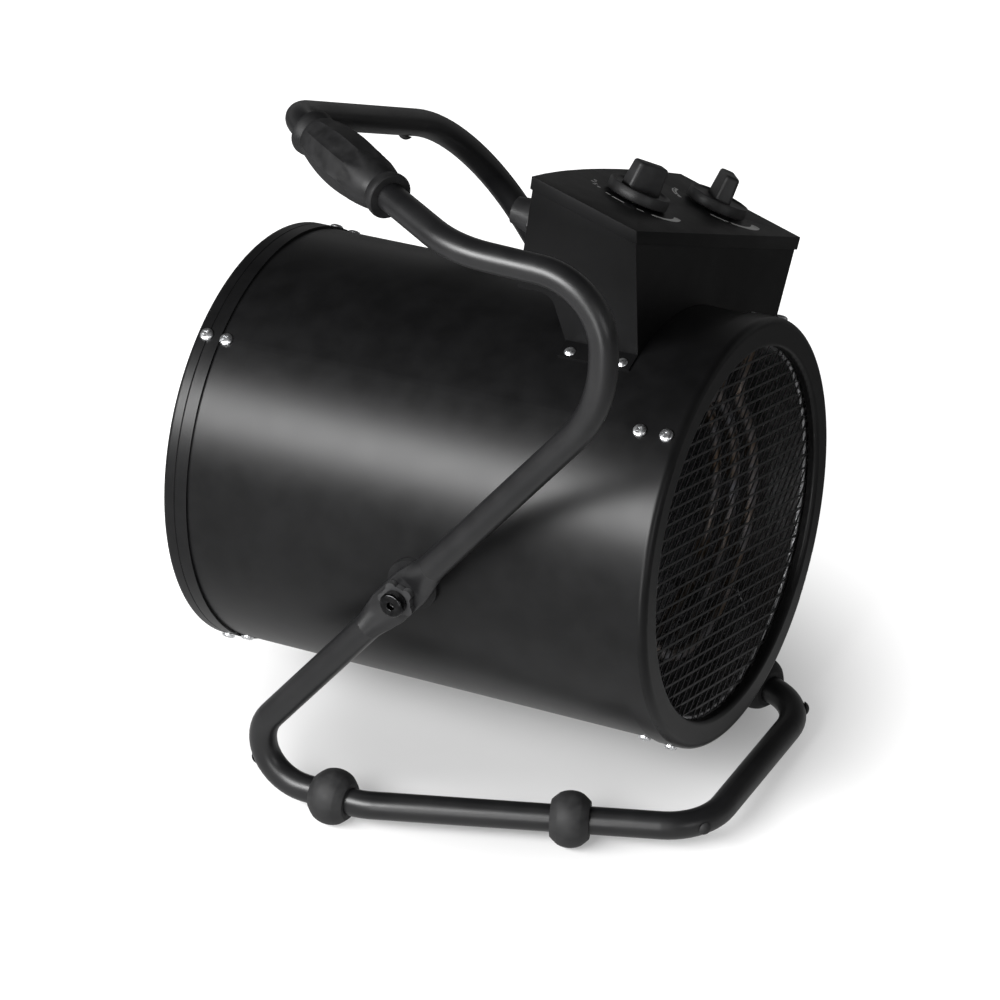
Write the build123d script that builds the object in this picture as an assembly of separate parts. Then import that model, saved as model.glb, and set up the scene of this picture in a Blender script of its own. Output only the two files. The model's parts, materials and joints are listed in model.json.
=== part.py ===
from build123d import *
import math
import os

# Forced air heater: a steel drum with a fan and three heating loops, tilting in a bent tube
# stand that is also its handle, with a control box on the drum's far shoulder.
# Millimetres, +Z up, -Y is the side that the warm air leaves. The origin is on the floor,
# under the middle of the whole heater.

# ---- where things are -------------------------------------------------------------------
PIVOT_X = -18.63                # the tilt pivot's centre, over the origin
PIVOT_Y = -0.61
PIVOT_HEIGHT = 183.0
DRUM_TILT = 2.0                 # degrees the outlet is tipped up at rest

# ---- clearances -------------------------------------------------------------------------
SEAT = 0.1                      # between pieces of one body that seat on each other
RUNNING = 0.05                  # radial, a bolt or a shaft in its hole
TURN_GAP = 0.3                  # axial, between pieces that turn past each other

# ---- drum -------------------------------------------------------------------------------
CASING_RADIUS = 137.0
CASING_SHEET = 1.0
FRONT_REACH = 158.6             # outlet plane ahead of the pivot
REAR_REACH = 180.6              # intake end behind the pivot
RING_SHEET = 1.5
FRONT_BAND = 17.0               # length of the band that laps over the casing
FRONT_LIP = 17.0                # the outlet ring's face, inward from the casing
FRONT_CORNER = 5.0
HEM_RADIUS = 3.0
HEM_DEPTH = 6.5
REAR_BAND = 17.5
REAR_LIP = 12.0
REAR_CORNER = 3.0
CREASE_DEPTH = 0.5
CASING_INSET = 5.6              # casing's ends behind the rings' faces

# ---- drum screws ------------------------------------------------------------------------
SCREW_ANGLE = 37.0              # each side of the top and of the bottom
SCREW_HEAD_RADIUS = 4.1
SCREW_HEAD_HEIGHT = 2.4
SCREW_SHANK_RADIUS = 1.9
SCREW_LENGTH = 4.6
FRONT_BAND_SCREW = 9.9          # behind the outlet plane
FRONT_CASING_SCREW = 28.2
REAR_BAND_SCREW = 7.7           # ahead of the intake end
REAR_CASING_SCREW = 21.3

# ---- grilles ----------------------------------------------------------------------------
MESH_SHEET = 1.2
MESH_MARGIN = 6.0               # net's edge inside the casing
MESH_OVERLAP = 2.0              # its gaps run this far behind the ring's lip
MESH_STRAND = 2.0
MESH_PITCH_FLAT = 16.0          # between the strands that lie nearly level
MESH_PITCH_STEEP = 14.6
MESH_ANGLE_FLAT = -15.0
MESH_ANGLE_STEEP = 40.0
GUARD_SHEET = 1.2
GUARD_HUB_RADIUS = 26.0
GUARD_OVERLAP = 3.0             # solid rim showing inside the rear ring
GUARD_RINGS = 7
GUARD_BAR = 4.0
GUARD_SPOKES = 8

# ---- duct and heating loops -------------------------------------------------------------
LINER_GAP = 19.0                # between the casing and the duct
LINER_SHEET = 0.8
LINER_TO_MOTOR = 8.0
LINER_BRACKET_WIDTH = 14.0
LINER_BRACKET_SHEET = 1.0
LINER_BRACKET_TAB = 16.0
LOOP_INSET = 34.0               # middle of a loop inside the duct
LOOP_TUBE_RADIUS = 4.25
LOOP_FIRST = 24.0               # first loop behind the mesh
LOOP_SPACING = 13.0
LOOP_COUNT = 3
LOOP_LEG_ANGLE = 33.0           # under the control box, from the top towards +X
LOOP_LEG_HALF_GAP = 10.5        # degrees
LOOP_LEG_SHORT = 7.0            # legs end short of the casing's outside
LOOP_LEG_BEND = 14.0
SUPPORT_ANGLES = (150.0, 270.0)
SUPPORT_SHEET = 1.2
SUPPORT_PAST = 8.0              # plates reach past the middle of the loops
CUTOUT_ANGLE = -60.0
CUTOUT_RADIUS = 7.5
CUTOUT_HEIGHT = 8.0
WIRE_HOLE_RADIUS = 12.0

# ---- fan and motor ----------------------------------------------------------------------
FAN_TIP_GAP = 7.0               # between the blades and the duct
FAN_HUB_RADIUS = 24.0
FAN_HUB_LENGTH = 20.0
FAN_TO_MOTOR = 34.0
FAN_BLADES = 5
BLADE_CHORD = 78.0
BLADE_PITCH = 27.0
BLADE_SHEET = 1.2
SHAFT_RADIUS = 4.0
MOTOR_RADIUS = 42.0
MOTOR_INSET = 96.6              # motor's front ahead of the intake end
MOTOR_LENGTH = 62.0
MOTOR_CAP_LENGTH = 16.0
MOTOR_BOSS_RADIUS = 13.0
MOTOR_BOSS_LENGTH = 6.0
SPIDER_SHEET = 2.0
SPIDER_ARM = 16.0
SPIDER_TAB = 22.0

# ---- stand ------------------------------------------------------------------------------
TUBE_RADIUS = 9.0
TUBE_WALL = 1.5
PIVOT_STANDOFF = 18.0           # from the casing to the middle of the flattened ends
DIAGONAL_SLOPE = 1.22           # rise over run of the two side diagonals
UPRIGHT_Y = -136.8
HANDLE_HEIGHT = 249.3
HANDLE_TURN_Y = -38.9
GRIP_CORNER = (-65.5, 122.6, 263.2)
FAR_CORNER_Y = 114.6
FAR_CORNER_Z = 162.6
HANDLE_BENDS = (93.0, 41.5, 84.0, 36.0, 111.0)
RAIL_HEIGHT = 18.0              # middle of the base rails over the floor
RAIL_KINK_Y = 31.0
BASE_CORNER_X = 77.5
BASE_CORNER_Y = -175.0
BASE_BENDS = (30.0, 40.0, 40.0, 40.0, 40.0, 30.0)
FLAT_THICKNESS = 3.0
FLAT_WIDTH = 25.5
FLAT_LENGTH = 26.0
FLAT_BLEND = 22.0               # length over which the tube goes from round to flat

# ---- grip, feet and plugs ---------------------------------------------------------------
GRIP_START = 69.0               # from the handle's turn, along the grip's line
GRIP_LENGTH = 90.0
GRIP_COLLAR_RADIUS = 14.6
GRIP_NECK_RADIUS = 13.2
GRIP_BELLY_RADIUS = 18.2
GRIP_COLLAR_LENGTH = 9.0
GRIP_RIBS = 10
GRIP_GROOVE = 0.9
FOOT_RADIUS = 18.4
FOOT_EDGE_RADIUS = 13.2
FOOT_WIDTH = 25.0
FOOT_ROUND = 1.8
FOOT_REAR_Y = 51.0
FOOT_FRONT_NEAR_Y = -95.0
FOOT_FRONT_FAR_Y = -134.0
PLUG_RADIUS = 4.5
PLUG_HEIGHT = 2.6
CROSSING_PLUG = 0.64            # of the way from the grip to the far bend

# ---- pivots -----------------------------------------------------------------------------
PIVOT_BOLT_RADIUS = 4.0
PIVOT_HEAD_RADIUS = 8.0
PIVOT_HEAD_HEIGHT = 7.0
PIVOT_SOCKET = 5.0
STAR_RADIUS = 11.5
STAR_THICKNESS = 4.0
STAR_LOBES = 5
BOSS_RADIUS = 9.5
BASE_DISC_RADIUS = 17.0
BASE_DISC_THICKNESS = 3.0
PIVOT_NUT_RADIUS = 8.0
PIVOT_NUT_HEIGHT = 6.5

# ---- control box ------------------------------------------------------------------------
BOX_SHEET = 1.2
CUT = 900.0                     # more than the whole heater, for blocks that only cut
BOX_NEAR_X = -37.0
BOX_FRONT_BACK = 50.6           # front wall behind the outlet plane
BOX_LID_SIDE_SLOPE = 25.05      # degrees the lid falls towards the far side
BOX_LID_FRONT_SLOPE = 18.2      # degrees the lid falls towards the front
BOX_LID_HEIGHT = 218.5          # over the pivot, at the near front corner
BOX_FAR_TOP_X = 205.5           # lid's far edge, at the front and at the rear
BOX_FAR_REAR_X = 209.5
BOX_FAR_LEAN = 37.7             # degrees from upright, seen from the front
BOX_REAR_Y = -38.0              # rear edge of the lid at its ends
BOX_REAR_BOW = 9.0
BOX_REAR_LEAN = 10.0
BOX_UNDER_RADIUS = 167.0        # underside of the overhang
BOX_LEG_BACK = -57.5            # where the legs start to rise from the casing
BOX_LEG_TOP = -48.0
LID_LIP = 8.0
FOOT_FLANGE = 13.0
FLANGE_REACH = 50.0
KNOB_SKIRT_RADIUS = 20.5
KNOB_SKIRT_HEIGHT = 5.5
KNOB_LIFT = 1.2                 # skirt above the lid
KNOB_GRIP_LENGTH = 27.0
KNOB_GRIP_WIDTH = 14.0
KNOB_GRIP_HEIGHT = 19.0
KNOB_TAPER = 5.0
KNOB_SHAFT_RADIUS = 3.0
KNOB_SHAFT_LENGTH = 26.0
THERMOSTAT_PLACE = (51.0, -64.0)
SELECTOR_PLACE = (152.5, -70.5)
THERMOSTAT_TURN = 8.0
SELECTOR_TURN = 96.0
THERMOSTAT_BODY = (34.0, 24.0)  # width and depth
SELECTOR_BODY = (30.0, 26.0)
GLAND_PLACE = (5.0, 190.0)
GLAND_BORE_RADIUS = 5.0
GLAND_THREAD_RADIUS = 9.8
GLAND_HEX = 13.5
GLAND_LENGTH = 24.0
GLAND_NUT_HEIGHT = 4.0
GLAND_NUT_GAP = 1.4             # the wall is bowed, the nut is flat


# ---- worked out from the sizes above ----------------------------------------------------
FRONT_Y = -FRONT_REACH
REAR_Y = REAR_REACH
INNER_RADIUS = CASING_RADIUS - CASING_SHEET
BAND_RADIUS = CASING_RADIUS + SEAT + RING_SHEET
FRONT_LIP_INNER = CASING_RADIUS - FRONT_LIP
REAR_LIP_INNER = CASING_RADIUS - REAR_LIP
MESH_RADIUS = CASING_RADIUS - MESH_MARGIN
MESH_OPEN_RADIUS = FRONT_LIP_INNER + MESH_OVERLAP
GUARD_OPEN_RADIUS = REAR_LIP_INNER - GUARD_OVERLAP
MESH_Y = FRONT_Y + HEM_DEPTH + SEAT
FLANGE_Y = MESH_Y + MESH_SHEET + SEAT
CASING_FRONT = FRONT_Y + CASING_INSET
CASING_REAR = REAR_Y - RING_SHEET - SEAT - GUARD_SHEET - SEAT
MOTOR_FRONT = REAR_Y - MOTOR_INSET
MOTOR_REAR = MOTOR_FRONT + MOTOR_LENGTH
SPIDER_Y = MOTOR_REAR + SEAT
FAN_CENTRE = MOTOR_FRONT - FAN_TO_MOTOR
LINER_REAR = MOTOR_FRONT - LINER_TO_MOTOR
LINER_RADIUS = CASING_RADIUS - LINER_GAP
FAN_RADIUS = LINER_RADIUS - FAN_TIP_GAP
LOOP_RADIUS = LINER_RADIUS - LOOP_INSET
LOOP_YS = [MESH_Y + LOOP_FIRST + i * LOOP_SPACING for i in range(LOOP_COUNT)]
LOOP_LEG_END = CASING_RADIUS - LOOP_LEG_SHORT
SUPPORT_INNER = LOOP_RADIUS - SUPPORT_PAST
BOX_FRONT_Y = FRONT_Y + BOX_FRONT_BACK
LID_FIT = BOX_SHEET + SEAT                      # tray inside the lid's outside
STAND_HALF_WIDTH = CASING_RADIUS + PIVOT_STANDOFF
RAIL_DROP = PIVOT_HEIGHT - RAIL_HEIGHT          # base rails below the pivot
FLAT_INNER = STAND_HALF_WIDTH - FLAT_THICKNESS / 2           # near side, one thickness
NEAR_FLAT_OUTER = STAND_HALF_WIDTH + FLAT_THICKNESS / 2
FAR_FLAT_INNER = STAND_HALF_WIDTH - FLAT_THICKNESS - SEAT    # far side, two thicknesses
FAR_FLAT_OUTER = STAND_HALF_WIDTH + FLAT_THICKNESS + SEAT


# ---- helpers ----------------------------------------------------------------------------
def drum_place():
    """The drum's own frame, turned about the pivot into its rest place."""
    return Pos(PIVOT_X, PIVOT_Y, PIVOT_HEIGHT) * Rot(X=-DRUM_TILT)


def stand_place():
    return Pos(PIVOT_X, PIVOT_Y, PIVOT_HEIGHT)


def on_drum(angle, y, radius):
    """A place on the drum, angle from the top towards +X, with local +Z pointing outward."""
    a = math.radians(angle)
    return Pos(radius * math.sin(a), y, radius * math.cos(a)) * Rot(Y=angle)


def tube_about_y(outer, inner, y0, y1):
    """A plain tube round the drum's axis."""
    return revolve(Pos((outer + inner) / 2, (y0 + y1) / 2) * Rectangle(outer - inner, y1 - y0), Axis.Y)


def disc_about_y(radius, y0, y1):
    return Pos(0, (y0 + y1) / 2, 0) * Rot(X=90) * Cylinder(radius, y1 - y0)


def pressed(points, radii, sheet):
    """A turned sheet piece: the outer line in (radius, y), its sheet laid to the inside."""
    line = FilletPolyline(*points, radius=radii)
    strip = make_face(line.offset_2d(sheet, side=Side.RIGHT, closed=True))
    return revolve(strip, Axis.Y)


def screw_angles():
    return (SCREW_ANGLE, -SCREW_ANGLE, 180 - SCREW_ANGLE, 180 + SCREW_ANGLE)


def pan_screw(head_radius, head_height, shank_radius, length):
    """Domed head over z = 0 and a plain shank below it."""
    dome = (head_radius**2 + head_height**2) / (2 * head_height)
    head = Pos(0, 0, head_height - dome) * Sphere(dome)
    head &= Pos(0, 0, head_height / 2) * Cylinder(head_radius, head_height)
    shank = Pos(0, 0, -length / 2) * Cylinder(shank_radius, length)
    return head + shank


def screw_row(y, radius):
    """Four like screws round the drum."""
    one = pan_screw(SCREW_HEAD_RADIUS, SCREW_HEAD_HEIGHT, SCREW_SHANK_RADIUS, SCREW_LENGTH)
    return [on_drum(a, y, radius + SEAT) * one for a in screw_angles()]


def screw_holes(y, radius):
    hole = Cylinder(SCREW_SHANK_RADIUS + SEAT, 4 * SCREW_LENGTH)
    return [on_drum(a, y, radius) * hole for a in screw_angles()]


# ---- drum shell -------------------------------------------------------------------------
def make_casing():
    shell = tube_about_y(CASING_RADIUS, INNER_RADIUS, CASING_FRONT, CASING_REAR)
    cuts = screw_holes(FRONT_Y + FRONT_BAND_SCREW, CASING_RADIUS)
    cuts += screw_holes(FRONT_Y + FRONT_CASING_SCREW, CASING_RADIUS)
    cuts += screw_holes(REAR_Y - REAR_BAND_SCREW, CASING_RADIUS)
    cuts += screw_holes(REAR_Y - REAR_CASING_SCREW, CASING_RADIUS)
    cuts += [Rot(Y=90) * Cylinder(PIVOT_BOLT_RADIUS + SEAT, 4 * CASING_RADIUS)]
    cuts += flange_holes()
    wires = on_drum(LOOP_LEG_ANGLE, (BOX_FRONT_Y + BOX_LEG_BACK) / 2, CASING_RADIUS)
    cuts += [wires * Cylinder(WIRE_HOLE_RADIUS, 20)]
    return shell - cuts


def make_front_ring():
    points = [
        (BAND_RADIUS, FRONT_Y + FRONT_BAND),
        (BAND_RADIUS, FRONT_Y),
        (FRONT_LIP_INNER, FRONT_Y),
        (FRONT_LIP_INNER, FRONT_Y + HEM_DEPTH),
    ]
    ring = pressed(points, (FRONT_CORNER, HEM_RADIUS), RING_SHEET)
    return ring - screw_holes(FRONT_Y + FRONT_BAND_SCREW, CASING_RADIUS)


def make_rear_ring():
    points = [
        (REAR_LIP_INNER, REAR_Y),
        (BAND_RADIUS, REAR_Y),
        (BAND_RADIUS, REAR_Y - REAR_BAND),
    ]
    ring = pressed(points, (REAR_CORNER,), RING_SHEET)
    middle = REAR_Y - REAR_BAND / 2
    crease = make_face(
        Polyline(
            (BAND_RADIUS + 1, middle - 1 - CREASE_DEPTH),
            (BAND_RADIUS - CREASE_DEPTH, middle),
            (BAND_RADIUS + 1, middle + 1 + CREASE_DEPTH),
            close=True,
        )
    )
    return ring - revolve(crease, Axis.Y) - screw_holes(REAR_Y - REAR_BAND_SCREW, CASING_RADIUS)


# ---- grilles ----------------------------------------------------------------------------
def mesh_cells():
    """The gaps of the outlet net, as faces clipped to the open circle."""
    flat, steep = math.radians(MESH_ANGLE_FLAT), math.radians(MESH_ANGLE_STEEP)
    between = math.sin(steep - flat)
    side_a, side_b = MESH_PITCH_STEEP / between, MESH_PITCH_FLAT / between
    inset_a, inset_b = MESH_STRAND / between, MESH_STRAND / between
    a = Vector(math.cos(flat), math.sin(flat))
    b = Vector(math.cos(steep), math.sin(steep))
    span = int(2 * MESH_OPEN_RADIUS / MESH_PITCH_STEEP)
    opening = Circle(MESH_OPEN_RADIUS)
    least = MESH_STRAND * MESH_STRAND
    cells = []
    for i in range(-span, span + 1):
        for j in range(-span, span + 1):
            middle = a * (i * side_a) + b * (j * side_b)
            if middle.length > MESH_OPEN_RADIUS + side_a:
                continue
            ha, hb = a * ((side_a - inset_a) / 2), b * ((side_b - inset_b) / 2)
            corners = [middle - ha - hb, middle + ha - hb, middle + ha + hb, middle - ha + hb]
            cell = make_face(Polyline(*corners, close=True))
            if max(c.length for c in corners) > MESH_OPEN_RADIUS:
                cell = cell & opening
            if cell is None:
                continue
            cells += [f for f in cell.faces() if f.area > least]
    return cells


def make_front_mesh():
    rim = Circle(MESH_RADIUS).face()
    cells = mesh_cells()
    print("front mesh gaps", len(cells))
    net = Face(rim.outer_wire(), [c.outer_wire() for c in cells])
    sheet = extrude(net, MESH_SHEET)
    return Pos(0, MESH_Y + MESH_SHEET, 0) * Rot(X=90) * sheet


def make_rear_guard():
    """Pressed finger guard: rings and spokes in one sheet."""
    pitch = (GUARD_OPEN_RADIUS - GUARD_HUB_RADIUS) / GUARD_RINGS
    wires = []
    for k in range(GUARD_RINGS):
        inner = GUARD_HUB_RADIUS + k * pitch
        outer = inner + pitch - GUARD_BAR
        for s in range(GUARD_SPOKES):
            start, end = 360 / GUARD_SPOKES * s, 360 / GUARD_SPOKES * (s + 1)
            half_in = math.degrees(GUARD_BAR / 2 / inner)
            half_out = math.degrees(GUARD_BAR / 2 / outer)
            low = CenterArc((0, 0), inner, start + half_in, end - start - 2 * half_in)
            high = CenterArc((0, 0), outer, start + half_out, end - start - 2 * half_out)
            sides = [Line(low @ 0, high @ 0), Line(low @ 1, high @ 1)]
            wires.append(Wire([low, sides[1], high, sides[0]]))
    rim = Circle(INNER_RADIUS - SEAT).face()
    plate = extrude(Face(rim.outer_wire(), wires), GUARD_SHEET)
    return Pos(0, REAR_Y - RING_SHEET - SEAT, 0) * Rot(X=90) * plate


# ---- duct -------------------------------------------------------------------------------
def make_liner():
    points = [
        (MESH_RADIUS, FLANGE_Y),
        (LINER_RADIUS, FLANGE_Y),
        (LINER_RADIUS, LINER_REAR),
    ]
    duct = pressed(points, (2.0,), LINER_SHEET)
    hole = Cylinder(LOOP_TUBE_RADIUS + SEAT, 30)
    legs = []
    for y in LOOP_YS:
        for side in (-1, 1):
            legs.append(loop_leg_place(side, y, LINER_RADIUS) * hole)
    return duct - legs


def make_liner_brackets():
    """Four Z straps from the casing's front screws down to the duct."""
    screw_y = FRONT_Y + FRONT_CASING_SCREW
    leg_y = screw_y + LINER_BRACKET_TAB / 2
    outer = INNER_RADIUS - SEAT
    inner = LINER_RADIUS + LINER_SHEET + SEAT
    sheet = LINER_BRACKET_SHEET
    tab = tube_about_y(outer, outer - sheet, leg_y - LINER_BRACKET_TAB, leg_y)
    web = tube_about_y(outer, inner, leg_y - sheet, leg_y)
    foot = tube_about_y(inner + sheet, inner, leg_y - sheet, leg_y + LINER_BRACKET_TAB)
    strap = tab + web + foot
    strap -= screw_holes(screw_y, CASING_RADIUS)
    pieces = []
    for angle in screw_angles():
        block = Box(LINER_BRACKET_WIDTH, 5 * LINER_BRACKET_TAB, 3 * LINER_GAP)
        sector = on_drum(angle, screw_y, CASING_RADIUS) * block
        pieces.append(strap & sector)
    return pieces


def loop_leg_place(side, y, radius):
    """Where one leg of a heating loop stands, its local +Z along the leg."""
    a = math.radians(LOOP_LEG_ANGLE + side * LOOP_LEG_HALF_GAP)
    return Pos(radius * math.sin(a), y, radius * math.cos(a)) * Rot(Y=math.degrees(a))


def make_heating_loop(y):
    """One sheathed loop round the drum's axis, both ends led out through the duct."""
    start = LOOP_LEG_ANGLE + LOOP_LEG_HALF_GAP
    end = 360 + LOOP_LEG_ANGLE - LOOP_LEG_HALF_GAP
    plane = Plane(origin=(0, y, 0), x_dir=(1, 0, 0), z_dir=(0, -1, 0))

    def spot(angle, radius):
        a = math.radians(angle)
        return (radius * math.sin(a), radius * math.cos(a))

    ring = ThreePointArc(
        spot(start, LOOP_RADIUS), spot((start + end) / 2, LOOP_RADIUS), spot(end, LOOP_RADIUS)
    )
    leg_a = Line(spot(start, LOOP_LEG_END), spot(start, LOOP_RADIUS))
    leg_b = Line(spot(end, LOOP_RADIUS), spot(end, LOOP_LEG_END))
    bare = Wire([leg_a, ring, leg_b])
    corners = [v for v in bare.vertices() if v.center().length < LOOP_RADIUS + 1]
    path = plane * bare.fillet_2d(LOOP_LEG_BEND, corners)
    section = Plane(origin=path @ 0, z_dir=path % 0) * Circle(LOOP_TUBE_RADIUS)
    return sweep(section, path)


def make_loop_supports():
    """Punched plates standing on the duct, which the loops pass through."""
    front, rear = LOOP_YS[0] - 11, LOOP_YS[-1] + 11
    outer = LINER_RADIUS - SEAT
    plates = []
    for angle in SUPPORT_ANGLES:
        plate = Pos(0, (front + rear) / 2, (outer + SUPPORT_INNER) / 2) * Box(
            SUPPORT_SHEET, rear - front, outer - SUPPORT_INNER
        )
        foot = tube_about_y(outer, outer - SUPPORT_SHEET, front, rear)
        foot &= Pos(6, (front + rear) / 2, outer) * Box(12, rear - front, 40)
        plate += foot
        for y in LOOP_YS:
            plate -= Pos(0, y, LOOP_RADIUS) * Rot(Y=90) * Cylinder(LOOP_TUBE_RADIUS + SEAT, 8)
        plates.append(Rot(Y=angle) * plate)
    return plates


def make_thermal_cutout():
    place = on_drum(CUTOUT_ANGLE, 0, LINER_RADIUS + LINER_SHEET + SEAT)
    body = Pos(0, 0, CUTOUT_HEIGHT / 2) * Cylinder(CUTOUT_RADIUS, CUTOUT_HEIGHT)
    # its seat follows the round duct
    body -= Pos(0, 0, -LINER_RADIUS - LINER_SHEET - SEAT) * Rot(X=90) * Cylinder(
        LINER_RADIUS + LINER_SHEET + SEAT, 4 * CUTOUT_RADIUS
    )
    tags = [Pos(x, 0, CUTOUT_HEIGHT + 2) * Box(1, 5, 4) for x in (-4, 4)]
    return place * (body + tags)


# ---- fan and motor ----------------------------------------------------------------------
def make_fan():
    """Pressed blades on a collar, all in one piece."""
    y0, y1 = FAN_CENTRE - FAN_HUB_LENGTH / 2, FAN_CENTRE + FAN_HUB_LENGTH / 2
    fan = disc_about_y(FAN_HUB_RADIUS, y0, y1)
    reach = tube_about_y(FAN_RADIUS, FAN_HUB_RADIUS - 2, FAN_CENTRE - 30, FAN_CENTRE + 30)
    length = FAN_RADIUS - FAN_HUB_RADIUS + 6
    outline = Sketch() + RectangleRounded(BLADE_CHORD, length, BLADE_CHORD / 4)
    outline -= Pos(BLADE_CHORD / 2, -length / 2) * Circle(BLADE_CHORD / 2.6)
    blade = extrude(outline, BLADE_SHEET / 2, both=True)
    blade = Pos(0, FAN_CENTRE, FAN_HUB_RADIUS + length / 2 - 4) * Rot(Z=BLADE_PITCH) * Rot(X=90) * blade
    blade &= reach
    for k in range(FAN_BLADES):
        fan += Rot(Y=k * 360 / FAN_BLADES) * blade
    return fan - disc_about_y(SHAFT_RADIUS + SEAT, y0 - 1, y1 + 1)


def make_fan_shaft():
    front = FAN_CENTRE - FAN_HUB_LENGTH / 2 - 9
    rear = MOTOR_FRONT + MOTOR_LENGTH - MOTOR_CAP_LENGTH
    return disc_about_y(SHAFT_RADIUS, front, rear)


def make_fan_nut():
    face = FAN_CENTRE - FAN_HUB_LENGTH / 2 - SEAT
    nut = Rot(X=90) * extrude(RegularPolygon(7.5, 6), 6)
    return Pos(0, face, 0) * (nut - Rot(X=90) * Cylinder(SHAFT_RADIUS + SEAT, 20))


def make_motor_body():
    rear = MOTOR_REAR - MOTOR_CAP_LENGTH - SEAT
    body = disc_about_y(MOTOR_RADIUS, MOTOR_FRONT, rear)
    body = chamfer(body.faces().sort_by(Axis.Y)[0].edges(), 3)
    body += disc_about_y(MOTOR_BOSS_RADIUS, MOTOR_FRONT - MOTOR_BOSS_LENGTH, MOTOR_FRONT)
    return body - disc_about_y(SHAFT_RADIUS + RUNNING, MOTOR_FRONT - 20, rear + 1)


def make_motor_cap():
    """Rear bell of the motor."""
    front = MOTOR_REAR - MOTOR_CAP_LENGTH
    cap = disc_about_y(MOTOR_RADIUS, front, MOTOR_REAR)
    cap -= disc_about_y(MOTOR_RADIUS - 3, front - 1, MOTOR_REAR - 3)
    cap = fillet(cap.faces().sort_by(Axis.Y)[-1].edges(), 2.5)
    return cap


def make_motor_spider():
    """Four-armed plate behind the motor, its bent ends screwed to the casing."""
    plate = disc_about_y(MOTOR_RADIUS - 4, SPIDER_Y, SPIDER_Y + SPIDER_SHEET)
    outer = INNER_RADIUS - SEAT
    ring = tube_about_y(outer, outer - SPIDER_SHEET, SPIDER_Y, SPIDER_Y + SPIDER_TAB)
    disc = disc_about_y(outer, SPIDER_Y, SPIDER_Y + SPIDER_SHEET)
    for angle in screw_angles():
        block = Box(SPIDER_ARM, 4 * SPIDER_TAB, outer + 4)
        sector = Rot(Y=angle) * Pos(0, SPIDER_Y, outer / 2) * block
        plate += (disc & sector) + (ring & sector)
    plate -= screw_holes(REAR_Y - REAR_CASING_SCREW, CASING_RADIUS)
    hole = Rot(X=90) * Cylinder(2 + SEAT, 12)
    return plate - [place * hole for place in motor_screw_places()]


def motor_screw_places():
    radius = MOTOR_RADIUS - 14
    places = []
    for k in range(4):
        a = math.radians(90 * k + 45)
        places.append(Pos(radius * math.sin(a), SPIDER_Y + SPIDER_SHEET, radius * math.cos(a)))
    return places


def make_motor_screws():
    one = Rot(X=-90) * pan_screw(3.4, 2.2, 2.0, SPIDER_SHEET)
    return [Pos(0, SEAT, 0) * place * one for place in motor_screw_places()]


# ---- pivots -----------------------------------------------------------------------------
def side_place(side):
    """Local +Z points outward along the pivot on the side asked for."""
    return Rot(Y=90 * side)


def make_pivot_boss(side):
    """Base disc on the casing, with a barrel up to the stand's flattened tube."""
    flat = FLAT_INNER if side < 0 else FAR_FLAT_INNER
    length = flat - TURN_GAP
    boss = Pos(0, 0, length / 2) * Cylinder(BOSS_RADIUS, length)
    disc = CASING_RADIUS + BASE_DISC_THICKNESS
    boss += Pos(0, 0, disc / 2) * Cylinder(BASE_DISC_RADIUS, disc)
    boss -= Rot(X=90) * Cylinder(CASING_RADIUS + SEAT, CUT)
    boss &= Pos(0, 0, CASING_RADIUS) * Box(CUT, CUT, CASING_RADIUS)
    boss -= Cylinder(PIVOT_BOLT_RADIUS + SEAT, 4 * CASING_RADIUS)
    return side_place(side) * boss


def make_pivot_bolt(side):
    """Round-headed socket bolt from outside the stand to the nut inside the casing."""
    outer = NEAR_FLAT_OUTER if side < 0 else FAR_FLAT_OUTER
    under_head = outer + TURN_GAP + STAR_THICKNESS + SEAT
    tip = INNER_RADIUS - PIVOT_NUT_HEIGHT - 2
    shank = Pos(0, 0, (under_head + tip) / 2) * Cylinder(PIVOT_BOLT_RADIUS, under_head - tip)
    head = Pos(0, 0, under_head + PIVOT_HEAD_HEIGHT / 2) * Cylinder(PIVOT_HEAD_RADIUS, PIVOT_HEAD_HEIGHT)
    head = fillet(head.edges().sort_by(Axis.Z)[-1:], 1.6)
    socket = Pos(0, 0, under_head + PIVOT_HEAD_HEIGHT - 4) * extrude(
        RegularPolygon(PIVOT_SOCKET / 2, 6, major_radius=False), 5
    )
    return side_place(side) * (head + shank - socket)


def make_star_washer(side):
    """Lobed hand collar clamped under the bolt's head."""
    outer = NEAR_FLAT_OUTER if side < 0 else FAR_FLAT_OUTER
    star = Sketch() + Circle(STAR_RADIUS - 1.5)
    for k in range(STAR_LOBES):
        star += Rot(Z=k * 360 / STAR_LOBES + 20) * Pos(STAR_RADIUS - 2.5, 0) * Circle(3.6)
    star -= Circle(PIVOT_BOLT_RADIUS + SEAT)
    star = Pos(0, 0, outer + TURN_GAP) * extrude(star, STAR_THICKNESS)
    return side_place(side) * star


def make_pivot_nut(side):
    nut = extrude(RegularPolygon(PIVOT_NUT_RADIUS, 6), PIVOT_NUT_HEIGHT)
    nut -= Cylinder(PIVOT_BOLT_RADIUS + SEAT, 40)
    seat = math.sqrt(INNER_RADIUS**2 - PIVOT_NUT_RADIUS**2) - SEAT
    return side_place(side) * Pos(0, 0, seat - PIVOT_NUT_HEIGHT) * nut


# ---- stand ------------------------------------------------------------------------------
def handle_points():
    w = STAND_HALF_WIDTH
    return [
        (-w, 0, 0),
        (-w, UPRIGHT_Y, -DIAGONAL_SLOPE * UPRIGHT_Y),
        (-w, UPRIGHT_Y, HANDLE_HEIGHT),
        (-w, HANDLE_TURN_Y, HANDLE_HEIGHT),
        GRIP_CORNER,
        (w, FAR_CORNER_Y, FAR_CORNER_Z),
        (w, 0, 0),
    ]


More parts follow.
